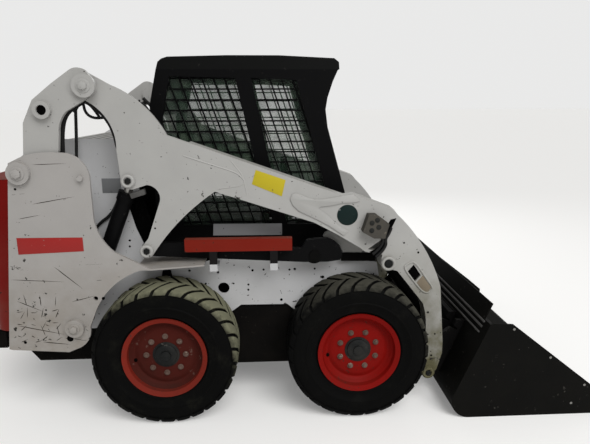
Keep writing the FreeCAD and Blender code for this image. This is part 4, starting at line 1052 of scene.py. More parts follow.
@dataclass
class Wheels(SubAssembly):
    """Tyres with worn lugs, dished rims, nuts, valves and greasy hubs."""

    outer: float = 0.384
    lugs: int = 28
    lug_half: float = 0.0345
    lug_height: float = 0.0105
    lug_top: float = 0.90
    lug_foot: float = 1.04
    lug_root: float = 0.004
    lean: float = 0.25
    dusty_side: Point2 = (0.45, 0.89)
    middle_y: float = 0.706
    axle_z: float = 0.384
    bolt_circle: float = 0.104
    nut_count: int = 8
    # name, distance out from the disc, radius, length, sides, rounding
    fasteners: tuple[tuple[str, float, float, float, int, float], ...] = (
        ("washer", 0.002, 0.0155, 0.006, ROUND, 0.001), ("nut", 0.007, 0.0110, 0.014, HEXAGON, 0.0015),
        ("bolt", 0.012, 0.006, 0.010, ROUND, 0.001))
    valve: Point3 = (-0.164, 0.066, -0.031)
    disc: float = 0.0735
    # distance outward from the wheel's middle, radius
    dish: tuple[Point2, ...] = (
        (0.0985, 0.2015), (0.0880, 0.1890), (0.0770, 0.1790), (0.0690, 0.1720), (0.0665, 0.1650),
        (0.0680, 0.1570), (0.0720, 0.1480), (0.0735, 0.1380), (0.0735, 0.0600), (0.0690, 0.0600),
        (0.0690, 0.1380), (0.0675, 0.1460), (0.0630, 0.1560), (0.0615, 0.1650), (0.0640, 0.1750),
        (0.0740, 0.1830), (0.0850, 0.1930), (0.0960, 0.2020))
    # the same columns
    hub: tuple[Point2, ...] = (
        (0.0675, 0.072), (0.0765, 0.071), (0.0785, 0.0605), (0.0850, 0.0580), (0.0880, 0.052),
        (0.0900, 0.040), (0.0905, 0.034), (0.0905, 0.027), (0.0985, 0.026), (0.1000, 0.022),
        (0.1000, 0.0005), (0.0675, 0.0005))
    # finishes of tyre, rim and dish; the rear dish's dark red is painted shade
    coats: dict[Axle, tuple[str, str, str]] = field(default_factory=lambda: {
        Axle.REAR: ("tyre_rubber", "rear_wheel_paint", "rear_dish_paint"),
        Axle.FRONT: ("front_rubber", "wheel_paint", "wheel_paint")})
    # distance from the tyre's middle, radius
    outer_line: tuple[Point2, ...] = (
        (0.0, 0.3735), (0.034, 0.3733), (0.070, 0.3727), (0.098, 0.3710), (0.113, 0.3680), (0.121, 0.3610),
        (0.1255, 0.3520), (0.1300, 0.3300), (0.1320, 0.3040), (0.1310, 0.2900), (0.1335, 0.2850),
        (0.1325, 0.2790), (0.1290, 0.2740), (0.1240, 0.2550), (0.1190, 0.2400), (0.1200, 0.2340),
        (0.1150, 0.2270), (0.1080, 0.2190), (0.1055, 0.2070))

    def carcass(self) -> Thing:
        """Tyre without its lugs, about the origin, with a little dust on the tread.

        Returns:
            The tyre.
        """
        left = [(-y, r) for y, r in reversed(self.outer_line[1:])]
        made = Bench.spun("tyre_carcass", list(self.outer_line) + left, (0, 0, 0), 96)
        dust = made.data.attributes.new("dust", "FLOAT", "POINT")
        for vertex, value in zip(made.data.vertices, dust.data):
            value.value = 0.25 * self.share(math.hypot(vertex.co.x, vertex.co.z), 0.350, 0.370)
        return made

    @staticmethod
    def share(value: float, low: float, high: float) -> float:
        """How far a value is from low (0) to high (1)."""
        return max(0.0, min(1.0, (value - low) / (high - low)))

    def along_shoulder(self, share: float) -> tuple[float, float, Vector]:
        """Place on the tyre's outer line from the middle (0) to the lug's end on the side wall (1).

        Args:
            share: how far along the lug.

        Returns:
            Distance across, radius, and the outward normal as a vector of (across, radius).
        """
        line = [Vector(p) for p in self.outer_line[:7]]
        lengths = [(b - a).length for a, b in zip(line, line[1:])]
        goal = share * sum(lengths)
        for start, end, length in zip(line, line[1:], lengths):
            if goal <= length or end == line[-1]:
                here = start.lerp(end, min(1.0, goal / length))
                run = (end - start).normalized()
                return here.x, here.y, Vector((-run.y, run.x))
            goal -= length
        raise ValueError("share is beyond the line")

    def lug(self) -> Thing:
        """One lug, from the middle of the tread over the shoulder, its top dusty.

        Returns:
            The lug, as it stands at the top of a tyre about the origin.
        """
        Bench.clear()
        bpy.ops.mesh.primitive_cube_add(size=2)
        made = bpy.context.object
        Bench.edit(made, lambda: bpy.ops.mesh.subdivide(number_cuts=5))
        dust = made.data.attributes.new("dust", "FLOAT", "POINT")
        for vertex, value in zip(made.data.vertices, dust.data):
            t, s, h = vertex.co
            share = 0.02 + 0.98 * (s + 1) / 2
            across, radius, normal = self.along_shoulder(share)
            half = self.lug_half * (0.90 + 0.20 * share) * (self.lug_top if h > 0 else self.lug_foot)
            lowering = 1 - 0.4 * self.share(share, 0.8, 1.0)
            height = self.lug_height * lowering * (h + 1) / 2 - self.lug_root * (h < -0.99)
            place = Vector((across, radius)) + normal * height
            turn = -self.lean * share ** 0.85 + (t * half) / self.outer
            limit = min(place.y, self.outer - 0.0002)
            value.value = self.share(h, -0.2, 0.9) * (1.0 - 0.55 * self.share(share, 0.72, 1.0))
            vertex.co = (limit * math.sin(turn), place.x, limit * math.cos(turn))
        Bench.bevel(made, 0.0026)
        return Bench.smooth(Bench.settle(made, "lug"), 40)

    def whole_tyre(self) -> Thing:
        """Tyre with both rings of lugs, about the origin.

        Returns:
            The tyre.
        """
        lug = self.lug()
        pitch = math.tau / self.lugs
        parts = [self.carcass()]
        for index in range(self.lugs):
            turn = Matrix.Rotation(index * pitch, 4, "Y")
            parts.append(Bench.copy(lug, f"lug_outer_{index}", turn))
            mirror = Matrix.Rotation((index + 0.5) * pitch, 4, "Y") @ Matrix.Diagonal((1, -1, 1, 1))
            parts.append(Bench.copy(lug, f"lug_inner_{index}", mirror))
        bpy.data.objects.remove(lug)
        return Bench.join("tyre", parts)

    def settle_dust(self, tyre: Thing, axle: Axle) -> None:
        """Scale the dust by direction: thick at the top and towards the front (dusty_side), thin below and at
        the back.

        Args:
            tyre: a tyre in its place.
            axle: the axle that it is on.
        """
        for vertex, value in zip(tyre.data.vertices, tyre.data.attributes["dust"].data):
            x, z = vertex.co.x - axle.value, vertex.co.z - self.axle_z
            across, up = self.dusty_side
            facing = (x * across + z * up) / max(0.01, math.hypot(x, z))
            value.value *= 0.10 + 0.90 * self.share(facing, -0.15, 0.75)

    def turned(self, name: str, rows: Sequence[Point2], axle: Axle, side: Side, steps: int) -> Thing:
        """Ring about a wheel's axle.

        Args:
            name: the ring's name, before the wheel's words.
            rows: corners as (distance outward from the wheel's middle, radius).
            axle: the wheel's axle.
            side: the wheel's side.
            steps: how many faces it has round the axle.

        Returns:
            The ring.
        """
        section = [(out * side.value, radius) for out, radius in rows]
        return Bench.spun(f"{name}_{axle.word}_{side.word}", section, self.centre(axle, side), steps)

    def centre(self, axle: Axle, side: Side) -> Point3:
        """Middle of a wheel."""
        return (axle.value, self.middle_y * side.value, self.axle_z)

    def nuts(self, axle: Axle, side: Side) -> Thing:
        """Eight wheel nuts with their washers and bolts' ends.

        Args:
            axle: the wheel's axle.
            side: the wheel's side.

        Returns:
            The nuts as one piece.
        """
        parts = []
        for index in range(self.nut_count):
            angle = math.tau * (index + 0.5 * (axle is Axle.FRONT)) / self.nut_count
            x = axle.value + self.bolt_circle * math.cos(angle)
            z = self.axle_z + self.bolt_circle * math.sin(angle)
            for name, out, radius, length, sides, bevel in self.fasteners:
                y = side.value * (self.middle_y + self.disc + out)
                parts.append(Bench.drum(f"{name}_{index}", (x, y, z), radius, length, sides, bevel))
        return Bench.join(f"wheel_nuts_{axle.word}_{side.word}", parts)

    def dress(self, tyre: Thing, axle: Axle, side: Side) -> None:
        """Dress one wheel.

        Args:
            tyre: the tyre about the origin.
            axle: the wheel's axle.
            side: the wheel's side.
        """
        place = f"{axle.word}_{side.word}"
        body = f"wheel_{place}"
        rubber, rim, dish = self.coats[axle]
        move = Matrix.Translation(self.centre(axle, side)) @ Matrix.Diagonal((1, side.value, 1, 1))
        piece = Bench.copy(tyre, f"tyre_{place}_dressed", move)
        self.settle_dust(piece, axle)
        self.fit(piece, rubber, body, [f"tyre_{place}"])
        self.coat(rim, f"rim_{place}")
        self.fit(self.turned("dish", self.dish, axle, side, 72), dish, body)
        self.fit(self.nuts(axle, side), "bolt_steel", body)
        self.fit(self.turned("hub", self.hub, axle, side, 48), "grease", body)
        x, y, z = self.valve
        centre = (axle.value + x, side.value * (self.middle_y + y), self.axle_z + z)
        self.fit(Bench.drum(f"valve_{place}", centre, 0.010, 0.012, 20, 0.001), "hole_black", body)

    def build(self) -> None:
        """Dress the four wheels."""
        tyre = self.whole_tyre()
        for axle in Axle:
            for side in Side:
                self.dress(tyre, axle, side)
        bpy.data.objects.remove(tyre)


@dataclass(frozen=True)
class Pin:
    """A pin's place on the XZ plane."""

    x: float
    z: float


TOWER_PIN, LINK_PIN = Pin(-1.367, 1.359), Pin(-1.025, 1.770)
LIFT_BASE, LIFT_EYE = Pin(-1.175, 0.547), Pin(-0.863, 1.308)
CONTROL_PIN, TILT_BASE, HINGE = Pin(-0.793, 0.941), Pin(0.477, 0.850), Pin(0.729, 0.202)


@dataclass
class Towers(SubAssembly):
    """Rear towers with bolt heads, the blank red strip, scratches, the links' pins and the hoses there."""

    face_y: float = 0.772
    boss: float = 0.022
    link_face_y: float = 0.776
    link_recess: float = 0.012
    strip: tuple[Point2, ...] = ((-1.418, 0.948), (-1.095, 0.960), (-1.095, 1.032), (-1.418, 1.034))
    scratches: tuple[tuple[Point2, Point2], ...] = (
        ((-1.302, 1.399), (-1.139, 1.404)), ((-1.324, 1.204), (-1.111, 1.241)),
        ((-1.472, 0.566), (-1.233, 0.509)), ((-1.476, 0.816), (-1.204, 0.799)),
        ((-1.455, 0.700), (-1.330, 0.640)), ((-1.250, 0.880), (-1.120, 0.760)),
        ((-1.400, 1.130), (-1.290, 1.150)), ((-1.180, 0.690), (-1.060, 0.720)),
        ((-1.350, 0.470), (-1.210, 0.452)))
    scuffs: int = 26
    scuff_corner: Point2 = (-1.480, 0.445)
    scuff_spread: Point2 = (0.250, 0.230)
    scuff_steps: Point3 = (0.7549, 0.5698, 0.277)
    # x, z, radius
    holes: tuple[Point3, ...] = (
        (-1.150, 0.430, 0.007), (-1.440, 0.470, 0.008), (-1.020, 0.705, 0.008), (-1.395, 1.280, 0.006))
    # name, body, radius, run with the distance from the middle as Y
    hoses: tuple[tuple[str, str, float, tuple[Point3, ...]], ...] = (
        # link_hose_0 is a real hose and also painted shade on the link's inner face
        ("link_hose_0", "rear_links", 0.013, (
            (-1.196, 0.660, 1.400), (-1.194, 0.660, 1.455), (-1.187, 0.660, 1.551), (-1.167, 0.660, 1.626),
            (-1.121, 0.660, 1.672), (-1.063, 0.660, 1.700))),
        ("link_hose_1", "frame", 0.008, (
            (-1.090, 0.610, 1.715), (-1.125, 0.610, 1.686), (-1.130, 0.610, 1.607), (-1.137, 0.610, 1.506),
            (-1.145, 0.610, 1.424), (-1.150, 0.606, 1.340), (-1.152, 0.590, 1.290), (-1.152, 0.552, 1.270))),
        ("link_hose_2", "rear_links", 0.007, (
            (-1.140, 0.600, 1.645), (-1.127, 0.600, 1.660), (-1.109, 0.600, 1.689), (-1.079, 0.600, 1.697),
            (-1.042, 0.600, 1.670), (-1.010, 0.600, 1.612))),
        ("link_hose_3", "rear_links", 0.007, (
            (-1.085, 0.620, 1.700), (-1.081, 0.620, 1.676), (-1.078, 0.620, 1.652), (-1.061, 0.620, 1.627),
            (-1.027, 0.620, 1.614), (-0.990, 0.620, 1.618))),
        ("body_hose", "frame", 0.008, (
            (-1.150, 0.552, 0.955), (-1.132, 0.568, 0.972), (-1.110, 0.572, 1.000), (-1.075, 0.570, 1.056),
            (-1.014, 0.570, 1.099), (-0.979, 0.570, 1.148), (-0.953, 0.570, 1.207))))

    def scuff_lines(self) -> list[tuple[Point2, Point2]]:
        """Short rusty scuffs, spread evenly over the tower's lower corner.

        Returns:
            Rows of start and end.
        """
        lines = []
        for index in range(self.scuffs):
            across, up, lean = ((index * step) % 1.0 for step in self.scuff_steps)
            x = self.scuff_corner[0] + self.scuff_spread[0] * across
            z = self.scuff_corner[1] + self.scuff_spread[1] * up
            long, turn = 0.018 + 0.050 * lean, 2.6 * lean - 0.7
            lines.append(((x, z), (x + long * math.cos(turn), z + long * math.sin(turn))))
        return lines

    def scratch(self, side: Side) -> Thing:
        """Long thin gouges and short scuffs on a tower's face, each tapering to its ends.

        Args:
            side: the tower's side.

        Returns:
            The scratches as one piece.
        """
        parts = []
        low, high = span(side, self.face_y - 0.0005, self.face_y + 0.0003)
        for index, (start, end) in enumerate([*self.scratches, *self.scuff_lines()]):
            first = Vector(start)
            run = Vector((end[0] - start[0], end[1] - start[1]))
            across = Vector((-run.y, run.x)).normalized() * (0.0016 + 0.0004 * (index % 3))
            rows = [first, first + run * 0.3 - across, first + run * 0.8 - across * 0.5, Vector(end),
                    first + run * 0.7 + across * 0.6, first + run * 0.2 + across]
            parts.append(Bench.sheet(f"scratch_{index}", rows, low, high))
        return Bench.join(f"tower_scratches_{side.word}", parts)

    def build(self) -> None:
        """Dress both towers and the rear links' pins."""
        for side in Side:
            for name, body, radius, points in self.hoses:
                self.line(name, side, points, radius, "hose_rubber", body)
            self.coat("tower_paint", f"tower_{side.word}")
            self.fit(self.scratch(side), "scratch_dark", "frame")
        top = self.face_y + self.boss
        washers = [Stud(TOWER_PIN.x, TOWER_PIN.z, 0.034, 0.004, ROUND, 0.001),
                   Stud(LIFT_BASE.x, LIFT_BASE.z, 0.028, 0.004, ROUND, 0.001)]
        bolts = [Stud(TOWER_PIN.x, TOWER_PIN.z, 0.024, 0.020, HEXAGON, 0.002),
                 Stud(LIFT_BASE.x, LIFT_BASE.z, 0.020, 0.018, HEXAGON, 0.002)]
        link_bolts = [Stud(LINK_PIN.x, LINK_PIN.z, 0.034, 0.003, ROUND, 0.001),
                      Stud(LINK_PIN.x, LINK_PIN.z, 0.022, 0.015, HEXAGON, 0.002)]
        link_plug = hole(TOWER_PIN.x + 0.137, TOWER_PIN.z + 0.299, 0.0235)
        holes = [hole(LIFT_BASE.x - 0.034, LIFT_BASE.z - 0.062, 0.016), *(hole(*row) for row in self.holes)]
        self.studs("tower_washer", washers, top, "tower_paint", "frame")
        self.studs("tower_bolt", bolts, top, "tower_paint", "frame")
        self.studs("link_bolt", link_bolts, self.link_face_y, "white_paint", "rear_links")
        self.studs("link_plug", [link_plug], self.link_face_y - self.link_recess, "hole_black", "rear_links")
        self.studs("tower_hole", holes, self.face_y, "hole_black", "frame")
        self.patch("badge_strip", self.strip, self.face_y, 0.0012, "badge_red", "frame")


@dataclass
class Arms(SubAssembly):
    """Lift arms with pressed ribs, bosses, blank plates and the coupler block with its hoses."""

    face_y: float = 0.715
    boss: float = 0.014
    yellow: tuple[Point2, ...] = ((-0.222, 1.357), (-0.070, 1.304), (-0.090, 1.219), (-0.243, 1.284))
    disc: Stud = Stud(0.253, 1.116, 0.055, 0.0015, 48, 0.0003)
    ridge: tuple[Point2, ...] = (
        (0.277, 1.226), (0.239, 1.221), (0.170, 1.209), (0.106, 1.201), (0.075, 1.203), (0.048, 1.210),
        (0.010, 1.226), (-0.018, 1.236), (-0.038, 1.230), (-0.048, 1.205), (-0.034, 1.172), (-0.001, 1.140),
        (0.090, 1.096), (0.158, 1.058), (0.235, 1.005), (0.262, 1.030), (0.225, 1.048), (0.195, 1.072),
        (0.158, 1.109), (0.100, 1.152), (0.110, 1.162), (0.157, 1.166), (0.223, 1.179), (0.290, 1.182),
        (0.318, 1.190))
    slot_frame: tuple[Point2, ...] = (
        (0.613, 0.856), (0.590, 0.846), (0.568, 0.828), (0.575, 0.806), (0.625, 0.740), (0.671, 0.684),
        (0.703, 0.673), (0.726, 0.690), (0.728, 0.708), (0.690, 0.760), (0.640, 0.833))
    slot_plate: tuple[Point2, ...] = (
        (0.640, 0.736), (0.672, 0.775), (0.722, 0.704), (0.703, 0.678), (0.673, 0.690))
    slot_dark: tuple[Point2, ...] = ((0.577, 0.816), (0.611, 0.843), (0.662, 0.783), (0.629, 0.745))
    fork_gap: tuple[Point2, ...] = (
        (0.514, 1.096), (0.483, 1.089), (0.468, 1.064), (0.459, 1.037), (0.428, 1.011), (0.429, 0.987),
        (0.445, 0.981), (0.440, 0.957), (0.404, 0.927), (0.375, 0.914), (0.395, 0.892), (0.431, 0.908),
        (0.457, 0.940), (0.466, 0.983), (0.477, 1.026), (0.500, 1.064))
    doubler: tuple[Point2, ...] = (
        (-0.583, 1.432), (-0.449, 1.386), (-0.325, 1.348), (-0.287, 1.313), (-0.278, 1.290), (-0.300, 1.278),
        (-0.327, 1.272), (-0.415, 1.262))
    inner_hose: tuple[Point2, ...] = (
        (-1.076, 1.730), (-1.036, 1.686), (-0.984, 1.644), (-0.946, 1.587), (-0.927, 1.530), (-0.918, 1.473),
        (-0.900, 1.380))
    coupler_hose: tuple[Point2, ...] = (
        (0.470, 1.062), (0.462, 1.035), (0.440, 1.000), (0.447, 0.968), (0.420, 0.925), (0.392, 0.902))
    couplers: tuple[Point2, ...] = ((0.372, 1.085), (0.408, 1.062), (0.372, 1.045), (0.400, 1.100))
    # x, z, radius
    holes: tuple[Point3, ...] = (
        (0.712, 0.560, 0.006), (0.758, 0.430, 0.005), (0.745, 0.300, 0.006), (0.640, 0.905, 0.006),
        (0.560, 0.960, 0.005), (-0.745, 1.060, 0.005))
    # name, place, the bolt head's radius and sides
    pins: tuple[tuple[str, Pin, float, int], ...] = (
        ("lift", LIFT_EYE, 0.017, HEXAGON), ("control", CONTROL_PIN, 0.017, HEXAGON),
        ("tilt", TILT_BASE, 0.022, 32), ("hinge", HINGE, 0.016, HEXAGON))
    # distance outward from the boss, radius beyond the bolt head
    ring: tuple[Point2, ...] = (
        (-0.002, 0.002), (0.007, 0.003), (0.009, 0.006), (0.009, 0.012), (0.006, 0.016), (-0.002, 0.017))
    bracket: tuple[Point2, ...] = ((-0.868, 1.240), (-0.791, 1.263), (-0.786, 1.234), (-0.859, 1.212))
    crease: tuple[Point2, ...] = (
        (-0.347, 1.406), (-0.318, 1.368), (-0.291, 1.333), (-0.278, 1.279), (-0.269, 1.229))

    def bosses(self) -> None:
        """Rings and greasy bolt heads on the arm's pins."""
        top = self.face_y + self.boss
        for name, pin, radius, sides in self.pins:
            for side in Side:
                section = [(side.value * out, radius + more) for out, more in self.ring]
                centre = (pin.x, side.value * top, pin.z)
                ring = Bench.spun(f"arm_ring_{name}_{side.word}", section, centre, ROUND)
                self.fit(ring, "foot_paint" if name == "hinge" else "arm_paint", "arms")
            bolt = Stud(pin.x, pin.z, radius, 0.006, sides, 0.0015)
            self.studs(f"arm_bolt_{name}", [bolt], top, "grease", "arms")

    def folds(self) -> None:
        """Edge of the doubler plate and the crease of the arm's skin."""
        beads = (("doubler_edge", self.doubler, 0.0042), ("skin_crease", self.crease, 0.0030))
        for side in Side:
            for name, bead, radius in beads:
                path = at_width(bead, self.face_y - radius * 0.45)
                self.line(name, side, path, radius, "arm_paint", "arms")

    def hoses(self) -> None:
        """A black hose inside each arm's loop, which also stands for the painted shade on the loop's inner
        face, and the coupler block's hoses and studs on the right arm.
        """
        for side in Side:
            # a real hose, and also painted shade on the loop's inner face
            self.line("loop_hose", side, at_width(self.inner_hose, 0.655), 0.012, "hose_rubber", "arms")
        y = -self.face_y
        for index, shift in enumerate((0.0, 0.016)):
            path = [(x + shift, y - 0.006, z - shift) for x, z in self.coupler_hose]
            self.fit(Bench.tube(f"coupler_hose_{index}", path, 0.0085), "hose_rubber", "arms")
        ends = [Bench.drum(f"coupler_{index}", (x, y - 0.058, z), 0.013, 0.010, bevel=0.0015)
                for index, (x, z) in enumerate(self.couplers)]
        self.fit(Bench.join("couplers", ends), "grease", "arms")

    def build(self) -> None:
        """Dress the arms, links and coupler block."""
        self.coat("arm_paint", "arm_left", "arm_right")
        self.coat("foot_paint", "arm_foot_left", "arm_foot_right")
        self.coat("white_paint", "rear_links", "arm_cross_tube")
        self.coat("black_paint", "control_links", "lift_barrels", "tilt_barrels")
        self.coat("rod_chrome", "lift_rods", "tilt_rods")
        self.coat("block_steel", "hydraulic_block")
        self.patch("yellow_plate", self.yellow, self.face_y, 0.001, "plate_yellow", "arms")
        self.patch("pressed_ridge", self.ridge, self.face_y, 0.0065, "arm_paint", "arms", 0.003)
        self.patch("loop_bracket", self.bracket, self.face_y - 0.045, 0.030, "bar_steel", "arms", 0.003)
        self.patch("slot_plate", self.slot_plate, self.face_y, 0.0012, "rust", "arms")
        # slot_dark and fork_gap are black sheets: painted shade inside the foot's slot and in the notch by
        # the coupler block
        self.patch("slot_dark", self.slot_dark, self.face_y - 0.008, 0.0020, "hole_black", "arms")
        self.patch("fork_gap", self.fork_gap, self.face_y, 0.0006, "hole_black", "arms")
        self.folds()
        self.studs("green_disc", [self.disc], self.face_y, "plate_green", "arms")
        self.studs("arm_hole", [hole(*row) for row in self.holes], self.face_y, "hole_black", "arms")
        self.bosses()
        self.hoses()
        ring = at_width(self.slot_frame, self.face_y)
        for side in Side:
            self.line("slot_frame", side, ring + ring[:3], 0.0055, "arm_paint", "arms")


@dataclass
class Body(SubAssembly):
    """Frame, side plates, deck, engine and rear end."""

    side_y: float = 0.560
    # x, z, radius
    holes: tuple[Point3, ...] = (
        (-0.254, 0.772, 0.007), (-0.192, 0.775, 0.006), (-0.046, 0.772, 0.006), (0.097, 0.775, 0.006),
        (-0.279, 0.688, 0.006), (-0.280, 0.657, 0.006), (-0.362, 0.696, 0.005), (-0.518, 0.698, 0.006),
        (-0.093, 0.593, 0.008), (-0.480, 0.600, 0.006), (0.330, 0.700, 0.006), (-0.920, 0.957, 0.006),
        (-0.923, 0.923, 0.006))
    upright_void: tuple[Point2, ...] = (
        (-0.909, 1.138), (-0.886, 1.197), (-0.840, 1.214), (-0.834, 1.196), (-0.790, 1.048), (-0.818, 0.943),
        (-0.845, 0.940), (-0.880, 1.027))
    tab: tuple[Point2, ...] = ((-0.758, 0.752), (-0.702, 0.752), (-0.708, 0.784), (-0.750, 0.784))
    gusset: tuple[Point2, ...] = (
        (0.138, 0.969), (0.151, 0.989), (0.168, 0.998), (0.194, 1.000), (0.221, 0.988), (0.300, 0.939),
        (0.371, 0.887), (0.352, 0.875), (0.253, 0.877), (0.241, 0.899), (0.231, 0.919), (0.209, 0.941),
        (0.183, 0.958), (0.155, 0.964))
    bar: tuple[Point2, ...] = ((0.240, 0.830), (0.430, 0.826), (0.430, 0.874), (0.240, 0.879))
    upright_label: tuple[Point2, ...] = ((-1.044, 1.221), (-0.945, 1.221), (-0.945, 1.300), (-1.044, 1.300))

    def build(self) -> None:
        """Dress the frame's nodes and add the side plates' holes, labels and gussets."""
        # the chain cases and the rear bumper are near-black as painted shade
        self.coat("frame_paint", "axle_tubes", "lower_frame", "chain_case_left", "chain_case_right",
                  "foot_floor", "control_link_pins", "bulkhead", "hood_rails", "rear_bumper")
        self.coat("side_paint", "side_plate_left", "side_plate_right", "deck")
        self.coat("white_paint", "hood")
        self.coat("grease", "engine", "tailgate_hinge_pins")
        self.coat("tail_paint", "tailgate")
        self.coat("tail_lens", "tail_lamps")
        self.coat("support_paint", "arm_support")
        self.studs("side_hole", [hole(*row) for row in self.holes], self.side_y, "hole_black", "frame")
        self.patch("side_tab", self.tab, self.side_y, 0.012, "frame_paint", "frame", 0.002)
        self.patch("elbow_gusset", self.gusset, self.side_y, 0.036, "white_paint", "frame", 0.006)
        self.patch("elbow_bar", self.bar, self.side_y + 0.036, 0.006, "frame_paint", "frame", 0.002)
        # a black sheet on the side plate's upright: painted shade standing for an opening there
        self.patch("upright_void", self.upright_void, self.side_y, 0.001, "hole_black", "frame")
        self.patch("upright_label", self.upright_label, self.side_y, 0.001, "plate_grey", "frame")


@dataclass
class Cab(SubAssembly):
    """Operator's cab with its screens, padded seat and levers."""

    voxel: float = 0.006
    pressure: float = 4.0
    cap: float = 0.009
    cushion: tuple[Point2, ...] = (
        (-0.598, 0.896), (-0.200, 0.896), (-0.190, 0.965), (-0.236, 0.988), (-0.585, 0.970))
    back: tuple[Point2, ...] = (
        (-0.615, 0.985), (-0.548, 0.985), (-0.612, 1.412), (-0.668, 1.425), (-0.715, 1.372))
    header: tuple[Point2, ...] = ((-0.789, 1.677), (-0.746, 1.865), (-0.736, 1.865), (-0.779, 1.677))
    inner_half: float = 0.424
    label: tuple[Point2, ...] = ((-0.478, 0.950), (-0.083, 0.947), (-0.083, 1.015), (-0.474, 1.018))
    outer_half: float = 0.450
    wire_growth: float = 0.0018
    cushion_half: float = 0.222
    back_half: float = 0.212

    def pad(self, name: str, outline: Sequence[Point2], half: float) -> Thing:
        """One padded cushion with piping along its two side seams.

        Args:
            name: the cushion's name.
            outline: its section on the XZ plane.
            half: half its width.

        Returns:
            The cushion.
        """
        form = Bench.sheet(name, outline, -half, half, 0.02, segments=3)
        made = Bench.inflate(form, self.voxel, self.pressure, self.cap)
        middle = Vector((sum(p[0] for p in outline), sum(p[1] for p in outline))) / len(outline)
        rows = [middle + (Vector(p) - middle) * 0.93 for p in outline]
        pipes = []
        for side in Side:
            path = at_width(rows + rows[:3], side.value * (half + 0.003))
            pipes.append(Bench.tube(f"{name}_piping_{side.word}", path, 0.0035))
        return Bench.join(name, [made, *pipes])

    def thicken(self, side: Side) -> None:
        """Screen with thicker wires, over the CAD screen.

        Args:
            side: the screen's side.
        """
        wires = Bench.copy(self.nodes[f"screen_{side.word}"], f"screen_wires_{side.word}", Matrix.Identity(4))
        Bench.modify(wires, "WELD", merge_threshold=1e-5)
        Bench.modify(wires, "DISPLACE", strength=self.wire_growth, mid_level=0.0)
        self.fit(wires, "black_paint", "frame")

    def build(self) -> None:
        """Dress the cab and pad its seat."""
        self.coat("black_paint", "cab_side_left", "cab_side_right", "cab_rear_wall", "screen_left",
                  "screen_right", "seat_pan", "seat_bar", "seat_bar_pivots", "control_levers")
        self.coat("roof_paint", "cab_roof")
        self.coat("pane_glass", "cab_panes")
        header = Bench.sheet("cab_header", self.header, -self.inner_half, self.inner_half, 0.003)
        self.fit(header, "black_paint", "frame")
        self.patch("cab_label", self.label, self.outer_half, 0.001, "plate_pale", "frame")
        for side in Side:
            self.thicken(side)
        pads = [self.pad("seat_cushion", self.cushion, self.cushion_half),
                self.pad("seat_back", self.back, self.back_half)]
        seat = self.fit(Bench.join("seat_cover", pads), "seat_vinyl", "frame", ["seat"])


@dataclass
class Bucket(SubAssembly):
    """Dirt bucket and its coupler, with bare steel strips across the bucket's back."""

    foot: Point2 = (0.811, 0.089)
    back: Point2 = (0.3905, 0.9206)
    # lower and upper edge of each strip, up the bucket's back
    strips: tuple[Point2, ...] = ((0.476, 0.488), (0.446, 0.459), (0.414, 0.424))
    strip_half: float = 0.80
    strip_height: float = 0.007

    def on_back(self, along: float, behind: float) -> Point2:
        """Point at a distance up the bucket's back and a distance behind it."""
        return (self.foot[0] + self.back[0] * along - self.back[1] * behind,
                self.foot[1] + self.back[1] * along + self.back[0] * behind)

    def build(self) -> None:
        """Dress the bucket and its coupler."""
        self.coat("bucket_paint", "bucket")
        self.coat("black_paint", "coupler")
        for index, (low, high) in enumerate(self.strips):
            corners = ((low, -SUNK), (high, -SUNK), (high, self.strip_height), (low, self.strip_height))
            outline = [self.on_back(along, behind) for along, behind in corners]
            strip = Bench.sheet(f"back_strip_{index}", outline, -self.strip_half, self.strip_half, 0.002)
            self.fit(strip, "bar_steel", "bucket")


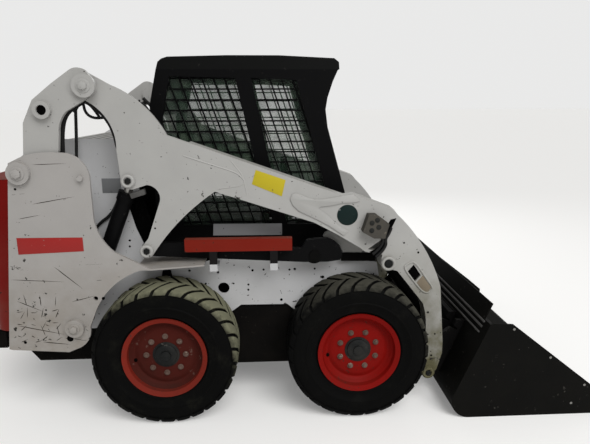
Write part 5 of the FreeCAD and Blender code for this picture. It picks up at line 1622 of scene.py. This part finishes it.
@dataclass
class Studio:
    """Floor, backdrop, lamps and camera."""

    eye: Point3 = (-0.164, -3.321, 1.679)
    yaw: float = 3.11
    pitch: float = 12.87
    roll: float = -0.14
    lens: float = 31.28
    sun: float = 1.7
    sun_from: Point3 = (1.2, -3.2, 4.6)
    sun_spread: float = 38.0
    sky_light: float = 0.42
    sky_seen: float = 0.86
    floor_glow: float = 0.19
    floor_glow_colour: tuple[float, ...] = (1.0, 0.995, 0.985, 1.0)
    floor_tones: tuple[Colour, Colour] = ((0.76, 0.755, 0.74), (0.80, 0.795, 0.78))
    floor_z: float = -0.0006
    floor_size: float = 400.0
    sky_colour: tuple[float, ...] = (0.95, 0.95, 0.945, 1.0)
    aim: Point3 = (0.0, 0.0, 0.8)
    # name, place, power, size
    lamps: list[tuple[str, Point3, float, float]] = field(default_factory=lambda: [
        ("key_lamp", (2.4, -3.8, 3.6), 60.0, 2.4), ("back_lamp", (0.5, 4.5, 3.8), 60.0, 3.0)])

    def floor(self) -> None:
        """Pale floor, as light as the background."""
        Bench.clear()
        bpy.ops.mesh.primitive_plane_add(size=self.floor_size, location=(0, 0, self.floor_z))
        floor = Bench.settle(bpy.context.object, "floor")
        material = bpy.data.materials.new("floor")
        material.use_nodes = True
        kit = NodeKit(material.node_tree)
        shader = kit.tree.nodes["Principled BSDF"].inputs
        shader["Roughness"].default_value = 0.95
        shader["Specular IOR Level"].default_value = 0.1
        shader["Emission Color"].default_value = self.floor_glow_colour
        cloud = kit.add("ShaderNodeTexNoise", Scale=0.8, Detail=5.0).outputs[0]
        kit.feed(shader["Base Color"], kit.blend(cloud, *self.floor_tones))
        rays = kit.add("ShaderNodeLightPath").outputs
        kit.feed(shader["Emission Strength"], kit.times(rays["Is Camera Ray"], self.floor_glow))
        floor.data.materials.append(material)

    def sky(self) -> None:
        """World that lights softly and shows a pale background."""
        world = bpy.data.worlds.new("studio")
        bpy.context.scene.world = world
        world.use_nodes = True
        kit = NodeKit(world.node_tree)
        back = kit.tree.nodes["Background"].inputs
        rays = kit.add("ShaderNodeLightPath").outputs
        seen = kit.math("MAXIMUM", rays["Is Camera Ray"], rays["Is Transmission Ray"])
        extra = kit.times(seen, self.sky_seen - self.sky_light)
        kit.feed(back["Strength"], kit.plus(extra, self.sky_light))
        back["Color"].default_value = self.sky_colour

    def light(self) -> None:
        """A broad soft sun, which lights the floor evenly, and two soft lamps, all facing the machine."""
        rows = [("sun_lamp", "SUN", self.sun_from, self.sun, self.sun_spread)]
        rows += [(name, "AREA", place, power, size) for name, place, power, size in self.lamps]
        for name, kind, place, power, size in rows:
            data = bpy.data.lights.new(name, kind)
            data.energy = power
            if kind == "SUN":
                data.angle = math.radians(size)
            else:
                data.size = size
            lamp = bpy.data.objects.new(name, data)
            bpy.context.scene.collection.objects.link(lamp)
            lamp.location = place
            lamp.rotation_euler = (Vector(self.aim) - Vector(place)).to_track_quat("-Z", "Y").to_euler()

    def camera(self) -> None:
        """Camera at the photograph's viewing angle."""
        data = bpy.data.cameras.new("camera")
        data.lens, data.sensor_width, data.sensor_fit = self.lens, 36.0, "HORIZONTAL"
        camera = bpy.data.objects.new("camera", data)
        bpy.context.scene.collection.objects.link(camera)
        turn = (Matrix.Rotation(math.radians(-self.yaw), 4, "Z")
                @ Matrix.Rotation(math.radians(90 - self.pitch), 4, "X")
                @ Matrix.Rotation(math.radians(self.roll), 4, "Z"))
        camera.matrix_world = Matrix.Translation(self.eye) @ turn
        bpy.context.scene.camera = camera

    def build(self) -> None:
        """Set the whole stage."""
        self.floor()
        self.sky()
        self.light()
        self.camera()
        bpy.context.scene.view_settings.view_transform = "Standard"


def main() -> None:
    """Load the frame, dress every sub-assembly and set the stage."""
    logging.basicConfig(level=logging.INFO, format="%(message)s")
    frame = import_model()
    palette = Palette()
    for kind in (Wheels, Towers, Arms, Body, Cab, Bucket):
        kind(frame["nodes"], palette).build()
        LOG.info("%s done", kind.__name__)
    Studio().build()


if __name__ == "__main__":
    main()
